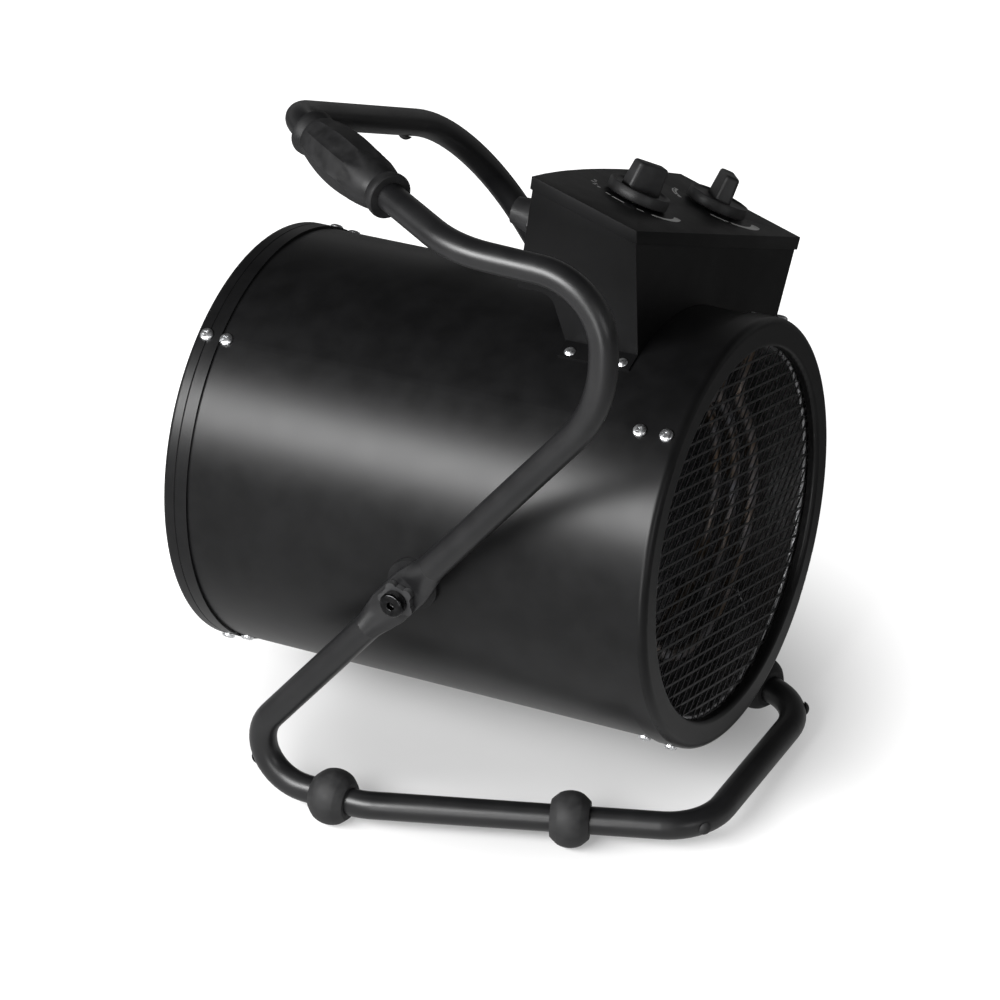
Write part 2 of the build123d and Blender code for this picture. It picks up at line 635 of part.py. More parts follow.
def base_points():
    w = STAND_HALF_WIDTH
    bend_y = RAIL_DROP / DIAGONAL_SLOPE
    return [
        (-w, 0, 0),
        (-w, bend_y, -RAIL_DROP),
        (-w, RAIL_KINK_Y, -RAIL_DROP),
        (-BASE_CORNER_X, BASE_CORNER_Y, -RAIL_DROP),
        (BASE_CORNER_X, BASE_CORNER_Y, -RAIL_DROP),
        (w, RAIL_KINK_Y, -RAIL_DROP),
        (w, bend_y, -RAIL_DROP),
        (w, 0, 0),
    ]


def shortened(points, start, end):
    """The same route, cut back by a length at each end."""
    points = [Vector(*p) for p in points]
    points[0] = points[0] + (points[1] - points[0]).normalized() * start
    points[-1] = points[-1] + (points[-2] - points[-1]).normalized() * end
    return points


def swept(path, radius):
    section = Plane(origin=path @ 0, z_dir=path % 0) * Circle(radius)
    return sweep(section, path)


def flat_end(along, offset, past):
    """Tube squashed flat round a pivot, blending to round at the end that points along.

    offset moves the flat off the tube's own plane, past is how far it runs beyond the pivot."""
    x_side = Vector(1, 0, 0)
    start = FLAT_LENGTH / 2
    round_plane = Plane(origin=along * (start + FLAT_BLEND), x_dir=x_side, z_dir=along)
    flat_plane = Plane(origin=along * start + x_side * offset, x_dir=x_side, z_dir=along)
    slot = RectangleRounded(FLAT_THICKNESS, FLAT_WIDTH, FLAT_THICKNESS * 0.49)
    blend = loft([flat_plane * slot, round_plane * Circle(TUBE_RADIUS)])
    flat = extrude(flat_plane * slot, -(start + past))
    return blend + flat


def make_stand_tube():
    reach = FLAT_LENGTH / 2 + FLAT_BLEND
    handle = shortened(handle_points(), reach, reach)
    base = shortened(base_points(), reach, reach)
    upper = FilletPolyline(*handle, radius=HANDLE_BENDS)
    lower = FilletPolyline(*base, radius=BASE_BENDS)
    bore = TUBE_RADIUS - TUBE_WALL
    tube = swept(upper, TUBE_RADIUS) - swept(upper, bore)
    tube += swept(lower, TUBE_RADIUS) - swept(lower, bore)
    w = STAND_HALF_WIDTH
    near_up = (handle[0] - Vector(-w, 0, 0)).normalized()
    near_down = (base[0] - Vector(-w, 0, 0)).normalized()
    far_up = (handle[-1] - Vector(w, 0, 0)).normalized()
    far_down = (base[-1] - Vector(w, 0, 0)).normalized()
    stack = FLAT_THICKNESS / 2 + SEAT
    past = FLAT_WIDTH / 2
    tube += Pos(-w, 0, 0) * flat_end(near_up, 0, 0)
    tube += Pos(-w, 0, 0) * flat_end(near_down, 0, 0)
    tube += Pos(w, 0, 0) * flat_end(far_up, -stack, past)
    tube += Pos(w, 0, 0) * flat_end(far_down, stack, past)
    return tube - Rot(Y=90) * Cylinder(PIVOT_BOLT_RADIUS + RUNNING, 4 * w)


def grip_frame():
    """Start of the grip, with +Z along the handle towards the rear."""
    turn = Vector(-STAND_HALF_WIDTH, HANDLE_TURN_Y, HANDLE_HEIGHT)
    along = (Vector(*GRIP_CORNER) - turn).normalized()
    return Plane(origin=turn + along * GRIP_START, z_dir=along)


def make_grip():
    """Ribbed rubber barrel with a collar at each end."""
    bore = TUBE_RADIUS + SEAT
    end, collar = GRIP_LENGTH, GRIP_COLLAR_LENGTH
    neck = collar + 5
    outline = [
        Line((bore, 0), (GRIP_COLLAR_RADIUS - 1, 0)),
        Line((GRIP_COLLAR_RADIUS - 1, 0), (GRIP_COLLAR_RADIUS, 1.5)),
        Line((GRIP_COLLAR_RADIUS, 1.5), (GRIP_COLLAR_RADIUS, collar - 2)),
        Line((GRIP_COLLAR_RADIUS, collar - 2), (GRIP_NECK_RADIUS, neck)),
        ThreePointArc(
            (GRIP_NECK_RADIUS, neck), (GRIP_BELLY_RADIUS, end / 2), (GRIP_NECK_RADIUS, end - neck)
        ),
        Line((GRIP_NECK_RADIUS, end - neck), (GRIP_COLLAR_RADIUS, end - collar + 2)),
        Line((GRIP_COLLAR_RADIUS, end - collar + 2), (GRIP_COLLAR_RADIUS, end - 1.5)),
        Line((GRIP_COLLAR_RADIUS, end - 1.5), (GRIP_COLLAR_RADIUS - 1, end)),
        Line((GRIP_COLLAR_RADIUS - 1, end), (bore, end)),
        Line((bore, end), (bore, 0)),
    ]
    body = Plane.XZ * make_face(outline)
    grip = revolve(body, Axis.Z)
    groove = Pos(GRIP_BELLY_RADIUS + 0.6, 0, end / 2) * Box(2 * GRIP_GROOVE, 1.6, end - 2 * neck - 8)
    for k in range(GRIP_RIBS):
        grip -= Rot(Z=k * 360 / GRIP_RIBS) * groove
    return grip_frame().location * grip


def rail_direction(x_sign):
    w = STAND_HALF_WIDTH
    start, end = Vector(x_sign * w, RAIL_KINK_Y, 0), Vector(x_sign * BASE_CORNER_X, BASE_CORNER_Y, 0)
    return (end - start).normalized()


def make_foot(x_sign, y):
    """Rubber ring slid on to a base rail, worn flat where it stands."""
    along = rail_direction(x_sign) if y < RAIL_KINK_Y else Vector(0, -1, 0)
    x = x_sign * STAND_HALF_WIDTH
    if y < RAIL_KINK_Y:
        x += along.X * (y - RAIL_KINK_Y) / along.Y
    bore, half = TUBE_RADIUS + SEAT, FOOT_WIDTH / 2
    edge, side, shoulder = FOOT_EDGE_RADIUS, FOOT_RADIUS - FOOT_ROUND, half * 0.6
    outline = [
        Line((bore, -half), (edge - 1, -half)),
        ThreePointArc((edge - 1, -half), (edge, -half + 1), (side, -shoulder)),
        ThreePointArc((side, -shoulder), (FOOT_RADIUS, 0), (side, shoulder)),
        ThreePointArc((side, shoulder), (edge, half - 1), (edge - 1, half)),
        Line((edge - 1, half), (bore, half)),
        Line((bore, half), (bore, -half)),
    ]
    ring = revolve(Plane.XZ * make_face(outline), Axis.Z)
    ring = Plane(origin=(x, y, -RAIL_DROP), z_dir=along).location * ring
    size = 4 * FOOT_RADIUS
    return ring & Pos(x, y, size / 2 - PIVOT_HEIGHT) * Box(size, size, size)


def make_plug(point, outward):
    """Small domed plug in a drain hole of the tube."""
    outward = outward.normalized()
    place = Plane(origin=point + outward * (TUBE_RADIUS + SEAT), z_dir=outward).location
    dome = (PLUG_RADIUS**2 + PLUG_HEIGHT**2) / (2 * PLUG_HEIGHT)
    cap = Pos(0, 0, PLUG_HEIGHT - dome) * Sphere(dome) & Pos(0, 0, PLUG_HEIGHT / 2) * Cylinder(
        PLUG_RADIUS, PLUG_HEIGHT
    )
    return place * cap


def make_tube_plugs():
    lower = FilletPolyline(*[Vector(*p) for p in base_points()], radius=BASE_BENDS)
    bends = sorted((e for e in lower.edges() if e.geom_type == GeomType.CIRCLE), key=lambda e: e.center().Y)
    spots = []
    for bend in bends[:2] + bends[-2:]:
        middle = bend @ 0.5
        spots.append((middle, middle - bend.arc_center))
    start, end = Vector(*handle_points()[4]), Vector(*handle_points()[5])
    along = (end - start).normalized()
    down = Vector(0, 0, -1) - along * Vector(0, 0, -1).dot(along)
    spots.append((start + (end - start) * CROSSING_PLUG, down))
    return [make_plug(point, outward) for point, outward in spots]


# ---- control box ------------------------------------------------------------------------
def lid_plane(drop):
    """The lid's outer face, lowered by drop: falls towards the far side and the front."""
    slope_x = math.tan(math.radians(BOX_LID_SIDE_SLOPE))
    slope_y = math.tan(math.radians(BOX_LID_FRONT_SLOPE))
    normal = Vector(slope_x, -slope_y, 1).normalized()
    corner = Vector(BOX_NEAR_X, BOX_FRONT_Y, BOX_LID_HEIGHT)
    level = Vector(normal.Z, 0, -normal.X).normalized()
    return Plane(origin=corner - normal * drop, x_dir=level, z_dir=normal)


def lid_point(x, y):
    """Point of the lid's outer face over (x, y) in the drum's frame."""
    plane = lid_plane(0)
    o, n = plane.origin, plane.z_dir
    z = o.Z - (n.X * (x - o.X) + n.Y * (y - o.Y)) / n.Z
    return Vector(x, y, z)


def rear_edge(inset, x):
    """y of the bowed rear edge of the lid, inset from its outside, at an x."""
    middle, half = (BOX_NEAR_X + BOX_FAR_REAR_X) / 2, (BOX_FAR_REAR_X - BOX_NEAR_X) / 2
    radius = (half**2 + BOX_REAR_BOW**2) / (2 * BOX_REAR_BOW)
    return BOX_REAR_Y + BOX_REAR_BOW - radius + math.sqrt((radius - inset) ** 2 - (x - middle) ** 2)


def box_outline(inset):
    """Plan of the control box, its rear edge bowed, inset from the outside of the lid."""
    x0, x1 = BOX_NEAR_X + inset, BOX_FAR_REAR_X + 5
    y0 = BOX_FRONT_Y - CUT / 4          # the upright front wall is cut later
    middle = (x0 + x1) / 2
    near, far = (x0, rear_edge(inset, x0)), (x1, rear_edge(inset, x1))
    edge = [
        Line(near, (x0, y0)),
        Line((x0, y0), (x1, y0)),
        Line((x1, y0), far),
        ThreePointArc(far, (middle, rear_edge(inset, middle)), near),
    ]
    return make_face(edge)


def box_block(inset, drop, legs):
    """Solid wedge of the control box: plan run up a leaning line, cut by lid and far wall.

    legs is the radius that the wedge is cut off at under its front half."""
    lean = math.tan(math.radians(BOX_REAR_LEAN))
    corner = lid_point(BOX_NEAR_X, BOX_REAR_Y)
    base = Pos(0, corner.Z * lean, 0) * box_outline(inset)
    block = extrude(base, CUT / 2, dir=(0, -lean, 1))
    front = Pos(0, BOX_FRONT_Y + inset + CUT / 2, 0) * Box(CUT, CUT, CUT)
    below = Pos(0, 0, -CUT / 2) * Box(CUT, CUT, CUT)
    keep = lid_plane(drop).location * below
    far_top = lid_point(BOX_FAR_TOP_X, BOX_FRONT_Y)
    edge = lid_point(BOX_FAR_REAR_X, BOX_REAR_Y) - far_top
    a = math.radians(BOX_FAR_LEAN)
    normal = Vector(-math.sin(a), 0, -math.cos(a)).cross(edge).normalized()
    wall = Plane(origin=far_top - normal * inset, z_dir=normal)
    inside = wall.location * below
    block = block & front & keep & inside
    return block - disc_about_y(legs, BOX_FRONT_Y - 50, 50)


def box_under(shift):
    """The room under the overhang, behind the legs, as a turned solid."""
    radius = BOX_UNDER_RADIUS + shift
    line = FilletPolyline(
        (0, 60),
        (radius, 60),
        (radius, BOX_LEG_TOP - shift),
        (CASING_RADIUS, BOX_LEG_BACK - shift),
        (0, BOX_LEG_BACK - shift),
        radius=(0.5, 10.0 + shift, 0.5),
    )
    return revolve(make_face([line, Line((0, BOX_LEG_BACK - shift), (0, 60))]), Axis.Y)


def flange_spots():
    """Angles and y places of the screws through the two foot flanges."""
    near_edge = math.degrees(math.asin(BOX_NEAR_X / CASING_RADIUS))
    reach = math.degrees(FOOT_FLANGE / CASING_RADIUS)
    front, rear = BOX_FRONT_Y + 8, BOX_LEG_BACK - 7
    return [(near_edge - reach * 0.55, front), (near_edge - reach * 0.55, rear)]


def flange_holes():
    hole = Cylinder(SCREW_SHANK_RADIUS + SEAT, 4 * SCREW_LENGTH)
    return [on_drum(a, y, CASING_RADIUS) * hole for a, y in flange_spots()]


def make_control_tray():
    """Folded sheet body of the control box, open at the top and over the casing."""
    seat = CASING_RADIUS + SEAT
    outer = box_block(LID_FIT, LID_FIT, seat) - box_under(0)
    inner = box_block(LID_FIT + BOX_SHEET, -5, 0) - box_under(BOX_SHEET)
    tray = outer - inner
    near_edge = math.degrees(math.asin((BOX_NEAR_X + LID_FIT) / CASING_RADIUS))
    flange = tube_about_y(seat + BOX_SHEET, seat, BOX_FRONT_Y + LID_FIT, BOX_FRONT_Y + FLANGE_REACH)
    reach = math.degrees(FOOT_FLANGE / CASING_RADIUS)
    wedge = Rot(Y=near_edge - reach) * Pos(CUT / 2, 0, CUT / 2) * Box(CUT, CUT, CUT)
    limit = Rot(Y=near_edge + 1) * Pos(-CUT / 2, 0, CUT / 2) * Box(CUT, CUT, CUT)
    tray += flange & wedge & limit
    tray -= gland_place() * Cylinder(GLAND_THREAD_RADIUS + SEAT, 40)
    tray -= flange_holes()
    return tray


def make_control_lid():
    """Cap sheet with a lip down all round, pierced for the two knob shafts."""
    lip = lid_plane(LID_LIP)
    above = lip.location * Pos(0, 0, CUT / 2) * Box(CUT, CUT, CUT)
    outer = box_block(0, 0, 0) & above
    inner = box_block(BOX_SHEET, BOX_SHEET, 0)
    lid = outer - inner
    for spot in (THERMOSTAT_PLACE, SELECTOR_PLACE):
        lid -= knob_place(spot, 0) * Cylinder(KNOB_SHAFT_RADIUS + 1, 40)
    return lid


def knob_place(spot, turn):
    """A knob's place: origin on the lid's face, +Z out of the lid."""
    plane = lid_plane(0)
    return Plane(origin=lid_point(*spot), x_dir=plane.x_dir, z_dir=plane.z_dir).location * Rot(Z=turn)


def make_knob(spot, turn):
    """Skirted knob with a tapered bar to hold and a raised pointer line."""
    skirt = Pos(0, 0, KNOB_SKIRT_HEIGHT / 2) * Cylinder(KNOB_SKIRT_RADIUS, KNOB_SKIRT_HEIGHT)
    skirt = chamfer(skirt.edges().sort_by(Axis.Z)[-1:], 1.5)
    bar = extrude(
        RectangleRounded(KNOB_GRIP_LENGTH, KNOB_GRIP_WIDTH, 4), KNOB_GRIP_HEIGHT, taper=KNOB_TAPER
    )
    rib = Pos(KNOB_GRIP_LENGTH / 2 - 2, 0, KNOB_GRIP_HEIGHT / 2) * Rot(Y=-KNOB_TAPER) * Box(
        3, 1.6, KNOB_GRIP_HEIGHT
    )
    knob = skirt + Pos(0, 0, KNOB_SKIRT_HEIGHT) * (bar + rib)
    knob -= Pos(0, 0, 6) * Cylinder(KNOB_SHAFT_RADIUS + SEAT, 13)
    return knob_place(spot, turn) * Pos(0, 0, KNOB_LIFT) * knob


def make_knob_shaft(spot):
    top = KNOB_LIFT + 12
    shaft = Pos(0, 0, top - KNOB_SHAFT_LENGTH / 2) * Cylinder(KNOB_SHAFT_RADIUS, KNOB_SHAFT_LENGTH)
    return knob_place(spot, 0) * shaft


def make_switch_body(spot, width, depth, terminals):
    """Body under the lid that a knob's shaft turns in, with blade terminals below."""
    under = -(BOX_SHEET + SEAT)
    body = Pos(0, 0, under - depth / 2) * Box(width, width, depth)
    body = fillet(body.edges().filter_by(Axis.Z), 3)
    spread = width * 0.7
    for k in range(terminals):
        x = -spread / 2 + spread * k / (terminals - 1)
        for y in (-width / 3, width / 3):
            body += Pos(x, y, under - depth - 3.5) * Box(1, 5, 7)
    body -= Cylinder(KNOB_SHAFT_RADIUS + RUNNING, 2 * KNOB_SHAFT_LENGTH)
    return knob_place(spot, 0) * body


def gland_place():
    """Where the mains lead would enter, in the rear wall: +Z points straight to the rear."""
    x, z = GLAND_PLACE
    return Pos(x, rear_wall_y(x, z), z) * Rot(X=BOX_REAR_LEAN) * Rot(X=-90)


def rear_wall_y(x, z):
    """y of the outside of the tray's rear wall at a point."""
    corner = lid_point(BOX_NEAR_X, BOX_REAR_Y)
    return rear_edge(LID_FIT, x) + (corner.Z - z) * math.tan(math.radians(BOX_REAR_LEAN))


def make_cable_gland():
    """Nylon gland with its dome outside the wall, empty."""
    gland = Pos(0, 0, -3) * Cylinder(GLAND_THREAD_RADIUS, 14)
    gland += Pos(0, 0, 1.5) * extrude(RegularPolygon(GLAND_HEX, 6), 6)
    dome = Pos(0, 0, 7.5) * extrude(Circle(GLAND_HEX - 1.8), GLAND_LENGTH - 10, taper=12)
    gland += dome
    return gland_place() * (gland - Cylinder(GLAND_BORE_RADIUS, 80))


def make_gland_nut():
    nut = extrude(RegularPolygon(GLAND_HEX, 6), GLAND_NUT_HEIGHT) - Cylinder(GLAND_THREAD_RADIUS + SEAT, 20)
    return gland_place() * Pos(0, 0, -BOX_SHEET - GLAND_NUT_GAP - GLAND_NUT_HEIGHT) * nut


def make_box_screws():
    """Screws of the foot flange, with their heads on the flange."""
    one = pan_screw(SCREW_HEAD_RADIUS * 0.9, 2.0, SCREW_SHANK_RADIUS, 5)
    lift = CASING_RADIUS + 2 * SEAT + BOX_SHEET
    return [on_drum(a, y, lift) * one for a, y in flange_spots()]


# ---- build ------------------------------------------------------------------------------
def as_one(pieces):
    """A node from one solid or from a group of separate ones."""
    if isinstance(pieces, list):
        return Compound(children=[s for p in pieces for s in p.solids()])
    solids = pieces.solids()
    return solids[0] if len(solids) == 1 else Compound(children=solids)


def drum_nodes():
    nodes = {
        "casing": make_casing(),
        "front_ring": make_front_ring(),
        "rear_ring": make_rear_ring(),
        "front_mesh": make_front_mesh(),
        "rear_guard": make_rear_guard(),
        "duct_liner": make_liner(),
        "liner_brackets": make_liner_brackets(),
        "loop_supports": make_loop_supports(),
        "thermal_cutout": make_thermal_cutout(),
        "fan": make_fan(),
        "fan_shaft": make_fan_shaft(),
        "fan_nut": make_fan_nut(),
        "motor_body": make_motor_body(),
        "motor_cap": make_motor_cap(),
        "motor_spider": make_motor_spider(),
        "motor_screws": make_motor_screws(),
        "control_tray": make_control_tray(),
        "control_lid": make_control_lid(),
        "thermostat_knob": make_knob(THERMOSTAT_PLACE, THERMOSTAT_TURN),
        "selector_knob": make_knob(SELECTOR_PLACE, SELECTOR_TURN),
        "thermostat_shaft": make_knob_shaft(THERMOSTAT_PLACE),
        "selector_shaft": make_knob_shaft(SELECTOR_PLACE),
        "thermostat_body": make_switch_body(THERMOSTAT_PLACE, *THERMOSTAT_BODY, 2),
        "selector_switch": make_switch_body(SELECTOR_PLACE, *SELECTOR_BODY, 4),
        "cable_gland": make_cable_gland(),
        "gland_nut": make_gland_nut(),
        "box_screws": make_box_screws(),
        "front_band_screws": screw_row(FRONT_Y + FRONT_BAND_SCREW, BAND_RADIUS),
        "front_casing_screws": screw_row(FRONT_Y + FRONT_CASING_SCREW, CASING_RADIUS),
        "rear_band_screws": screw_row(REAR_Y - REAR_BAND_SCREW, BAND_RADIUS),
        "rear_casing_screws": screw_row(REAR_Y - REAR_CASING_SCREW, CASING_RADIUS),
    }
    for k, y in enumerate(LOOP_YS):
        nodes[f"heating_loop_{k + 1}"] = make_heating_loop(y)
    for name, side in (("near", -1), ("far", 1)):
        nodes[f"pivot_boss_{name}"] = make_pivot_boss(side)
        nodes[f"pivot_bolt_{name}"] = make_pivot_bolt(side)
        nodes[f"star_collar_{name}"] = make_star_washer(side)
        nodes[f"pivot_nut_{name}"] = make_pivot_nut(side)
    return nodes


def stand_nodes():
    return {
        "stand_tube": make_stand_tube(),
        "handle_grip": make_grip(),
        "tube_plugs": make_tube_plugs(),
        "foot_rear_near": make_foot(-1, FOOT_REAR_Y),
        "foot_rear_far": make_foot(1, FOOT_REAR_Y),
        "foot_front_near": make_foot(-1, FOOT_FRONT_NEAR_Y),
        "foot_front_far": make_foot(1, FOOT_FRONT_FAR_Y),
    }


def main():
    os.makedirs("parts", exist_ok=True)
    for place, nodes in ((drum_place(), drum_nodes()), (stand_place(), stand_nodes())):
        for name, pieces in nodes.items():
            export_step(place * as_one(pieces), f"parts/{name}.step")


main()
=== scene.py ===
# %% [markdown]
# A forced air heater: a black steel drum that tilts in a bent tube stand, with a control
# box on its shoulder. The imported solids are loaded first. Everything else is fitted on
# them, in metres, so nothing has to be lined up by eye.
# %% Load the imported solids
import bmesh
import bpy
import json
from math import atan2, cos, degrees, hypot, pi, radians, sin
from mathutils import Matrix, Vector

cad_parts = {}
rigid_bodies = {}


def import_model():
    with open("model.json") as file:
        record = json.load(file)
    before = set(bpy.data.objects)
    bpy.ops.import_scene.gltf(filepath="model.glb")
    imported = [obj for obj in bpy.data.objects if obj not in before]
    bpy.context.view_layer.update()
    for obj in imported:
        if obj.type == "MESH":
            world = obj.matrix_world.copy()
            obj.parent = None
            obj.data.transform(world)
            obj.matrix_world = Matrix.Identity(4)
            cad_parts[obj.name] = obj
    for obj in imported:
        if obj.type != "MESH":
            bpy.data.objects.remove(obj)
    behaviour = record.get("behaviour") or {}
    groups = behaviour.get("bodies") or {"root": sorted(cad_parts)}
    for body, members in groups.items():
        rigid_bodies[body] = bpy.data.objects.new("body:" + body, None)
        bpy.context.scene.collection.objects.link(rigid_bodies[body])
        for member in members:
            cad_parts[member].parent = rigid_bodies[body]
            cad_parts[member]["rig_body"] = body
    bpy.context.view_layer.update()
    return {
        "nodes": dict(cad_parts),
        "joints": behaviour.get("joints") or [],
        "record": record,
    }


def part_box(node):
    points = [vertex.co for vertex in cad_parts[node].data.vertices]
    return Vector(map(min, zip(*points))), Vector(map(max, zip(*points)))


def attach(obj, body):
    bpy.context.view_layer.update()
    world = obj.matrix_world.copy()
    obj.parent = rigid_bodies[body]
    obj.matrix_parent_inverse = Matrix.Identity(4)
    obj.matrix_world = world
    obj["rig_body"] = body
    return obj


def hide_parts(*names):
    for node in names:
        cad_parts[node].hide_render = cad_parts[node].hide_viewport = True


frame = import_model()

# %% [markdown]
# Later steps need to know where the drum and the knobs stand. The joints of the packed
# model say it exactly, so their places are read from there and not typed again.
# %% Places on the heater
MM = 0.001
joint = {j["name"]: j for j in frame["joints"]}
pivot = Vector(joint["drum_tilt"]["pos_m"])
blow = Vector(joint["fan_spin"]["axis"])
drum = Matrix.Translation(pivot) @ Matrix.Rotation(atan2(blow.z, blow.y), 4, "X")
lid_up = -Vector(joint["thermostat_turn"]["axis"])
flat = drum.to_3x3().inverted() @ lid_up
lid_x = drum.to_3x3() @ Vector((flat.z, 0, -flat.x)).normalized()
lid_y = lid_up.cross(lid_x)
low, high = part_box("casing")
CASING_RADIUS = (high.x - low.x) / 2
lid_lean = degrees(lid_up.angle((0, 0, 1)))
print("casing radius", round(CASING_RADIUS / MM, 2), "mm, lid leans", round(lid_lean, 1), "degrees")


def on_drum(angle, y, radius):
    """A place on the drum: angle from the top towards the far side, local Z outward."""
    a = radians(angle)
    spot = Matrix.Translation((radius * sin(a), y, radius * cos(a)))
    return drum @ spot @ Matrix.Rotation(a, 4, "Y")


def on_lid(spot, turn=0.0):
    """A place on the lid's face with Z out of the lid, turned about Z."""
    axes = Matrix((lid_x, lid_y, lid_up)).transposed().to_4x4()
    return Matrix.Translation(spot) @ axes @ Matrix.Rotation(radians(turn), 4, "Z")


# %% [markdown]
# The camera stands to the left, in front and above, and far away with a long lens, as for
# a catalogue picture. Its place and turn were solved from the photograph's own corners.
# %% Camera
scene = bpy.context.scene
lens = bpy.data.cameras.new("camera")
lens.lens, lens.sensor_width = 152.85, 36.0
lens.clip_end = 30.0
camera = bpy.data.objects.new("camera", lens)
camera.location = (-2.11173, -1.07791, 1.5646)
camera.rotation_euler = (radians(59.37), 0, radians(-62.52))
scene.collection.objects.link(camera)
scene.camera = camera
scene.view_settings.view_transform = "Standard"
print("camera", round(camera.location.length, 2), "m from the middle of the floor")

# %% [markdown]
# Soft studio light. The long pale streak on the drum is the picture of one big lamp high
# on the left and a little behind, so that lamp's size and place set the streak's. A low
# strip on the same side draws the bright line on the upright tube. A weak lamp in front
# looks into the duct, so that the sheet behind the net shines a little.
# %% Lamps
def lamp(name, place, target, size, watts):
    """Adds a soft rectangular lamp that faces a target and stays out of the picture."""
    data = bpy.data.lights.new(name, "AREA")
    data.shape, data.size, data.size_y = "RECTANGLE", size[0], size[1]
    data.energy = watts
    light = bpy.data.objects.new(name, data)
    light.location = place
    light.rotation_euler = (Vector(target) - Vector(place)).to_track_quat("-Z", "Y").to_euler()
    light.visible_camera = False
    scene.collection.objects.link(light)
    radiance = watts / (pi * size[0] * size[1])
    print(name, "radiance", round(radiance, 1))


DUCT_INSIDE = (0.02, 0, 0.16)
lamp("key_lamp", (-1.20, 0.40, 0.90), pivot, size=(1.4, 0.44), watts=39)
lamp("side_lamp", (-1.14, -0.335, 0.25), pivot, size=(0.25, 0.5), watts=2.4)
lamp("front_lamp", (-0.75, -1.35, 0.55), DUCT_INSIDE, size=(0.5, 0.5), watts=1.8)

# %% [markdown]
# The room is white paper to the camera. In the gloss of the paint it fades from white low
# down to dark overhead, as a studio does. A plain even light fills the shadows.
# %% Room
MIX_A, MIX_B, MIX_COLOUR = 6, 7, 2     # a Mix node's sockets for colours
NUMBER_A, NUMBER_B = 2, 3              # and for plain numbers


def grey(value):
    return (value, value, value, 1)


def link(tree, *ends):
    """Joins sockets two by two: from, to, from, to."""
    for start, end in zip(ends[::2], ends[1::2]):
        tree.links.new(start, end)


def ramp(tree, stops):
    """A grey ramp from (position, value) pairs."""
    node = tree.nodes.new("ShaderNodeValToRGB")
    points = node.color_ramp.elements
    while len(points) < len(stops):
        points.new(0.5)
    for point, (position, value) in zip(points, stops):
        point.position = position
        point.color = grey(value)
    return node


def seen(tree):
    """1 for camera, glossy and transmission rays, 0 for the light that falls on things."""
    path = tree.nodes.new("ShaderNodeLightPath")
    out = path.outputs["Is Camera Ray"]
    for kind in ("Is Glossy Ray", "Is Transmission Ray"):
        either = tree.nodes.new("ShaderNodeMath")
        either.operation = "MAXIMUM"
        link(tree, out, either.inputs[0], path.outputs[kind], either.inputs[1])
        out = either.outputs[0]
    return out


def colour_mix(tree, first=None, second=None):
    """A mix of two colours. An end that stays None is wired up later."""
    node = tree.nodes.new("ShaderNodeMix")
    node.data_type = "RGBA"
    for socket, value in ((MIX_A, first), (MIX_B, second)):
        if value is not None:
            node.inputs[socket].default_value = grey(value)
    return node


FILL = 0.15
PAPER_WHITE = 1.0
ROOM_FADE = [(0.0, 1.0), (0.46, 0.9), (0.5, 0.32), (0.62, 0.14), (0.8, 0.04), (1.0, 0.03)]
world = bpy.data.worlds.new("room")
scene.world = world
world.use_nodes = True
tree = world.node_tree
tree.nodes.clear()
where = tree.nodes.new("ShaderNodeTexCoord")
split = tree.nodes.new("ShaderNodeSeparateXYZ")
half = tree.nodes.new("ShaderNodeMath")
half.operation = "MULTIPLY_ADD"
half.inputs[1].default_value = half.inputs[2].default_value = 0.5
wall = ramp(tree, ROOM_FADE)
mix = colour_mix(tree, first=FILL)
paper_mix = colour_mix(tree, second=PAPER_WHITE)
path = tree.nodes.new("ShaderNodeLightPath")
room = tree.nodes.new("ShaderNodeBackground")
out = tree.nodes.new("ShaderNodeOutputWorld")
link(tree, where.outputs["Generated"], split.inputs[0], split.outputs["Z"], half.inputs[0])
link(tree, half.outputs[0], wall.inputs[0], wall.outputs[0], mix.inputs[MIX_B])
link(tree, seen(tree), mix.inputs[0], mix.outputs[MIX_COLOUR], paper_mix.inputs[MIX_A])
link(tree, path.outputs["Is Camera Ray"], paper_mix.inputs[0])
link(tree, paper_mix.outputs[MIX_COLOUR], room.inputs[0], room.outputs[0], out.inputs[0])
print("even light", FILL)

# %% [markdown]
# The floor is a pale sweep. It glows to the camera, more and more away from the heater, so
# that the paper reads white. Close to the heater the glow is weak, so the soft grey under the
# drum is its cast shadow together with painted shade. The gloss of the paint sees a paper
# painted darker, a painted darkening of its reflection, and it glows only close to the
# heater, a painted reflection of a bright patch under the drum. Each glow is given as the
# distance where it starts and ends in metres, and how strong it is at both.
# %% Floor
FLOOR_REACH = 9.0
# To glossy rays the paper is painted darker than to the camera: a painted darkening of its
# reflection.
PAPER_TONE, PAPER_PAINTED_DARKER_IN_GLOSS = 0.56, 0.32
# A glow seen only in the gloss, near the heater: a painted reflection.
PAINTED_REFLECTION_GLOW_IN_GLOSS = (0.25, 0.45, 0.25, 0.0)
# The camera glow is weak near the heater, which paints shade round it.
CAMERA_GLOW_WITH_PAINTED_SHADE = (0.10, 0.33, 0.15, 1.0)
plane = bpy.data.meshes.new("floor")
bm = bmesh.new()
bmesh.ops.create_grid(bm, x_segments=1, y_segments=1, size=FLOOR_REACH)
bm.to_mesh(plane)
bm.free()
floor = bpy.data.objects.new("floor", plane)
scene.collection.objects.link(floor)
paper = bpy.data.materials.new("paper_sweep")
paper.use_nodes = True
tree = paper.node_tree
tree.nodes.clear()
where = tree.nodes.new("ShaderNodeTexCoord")
away = tree.nodes.new("ShaderNodeVectorMath")
away.operation = "LENGTH"
# This fade is the glow seen in the gloss near the heater, a painted reflection.
near = tree.nodes.new("ShaderNodeMapRange")
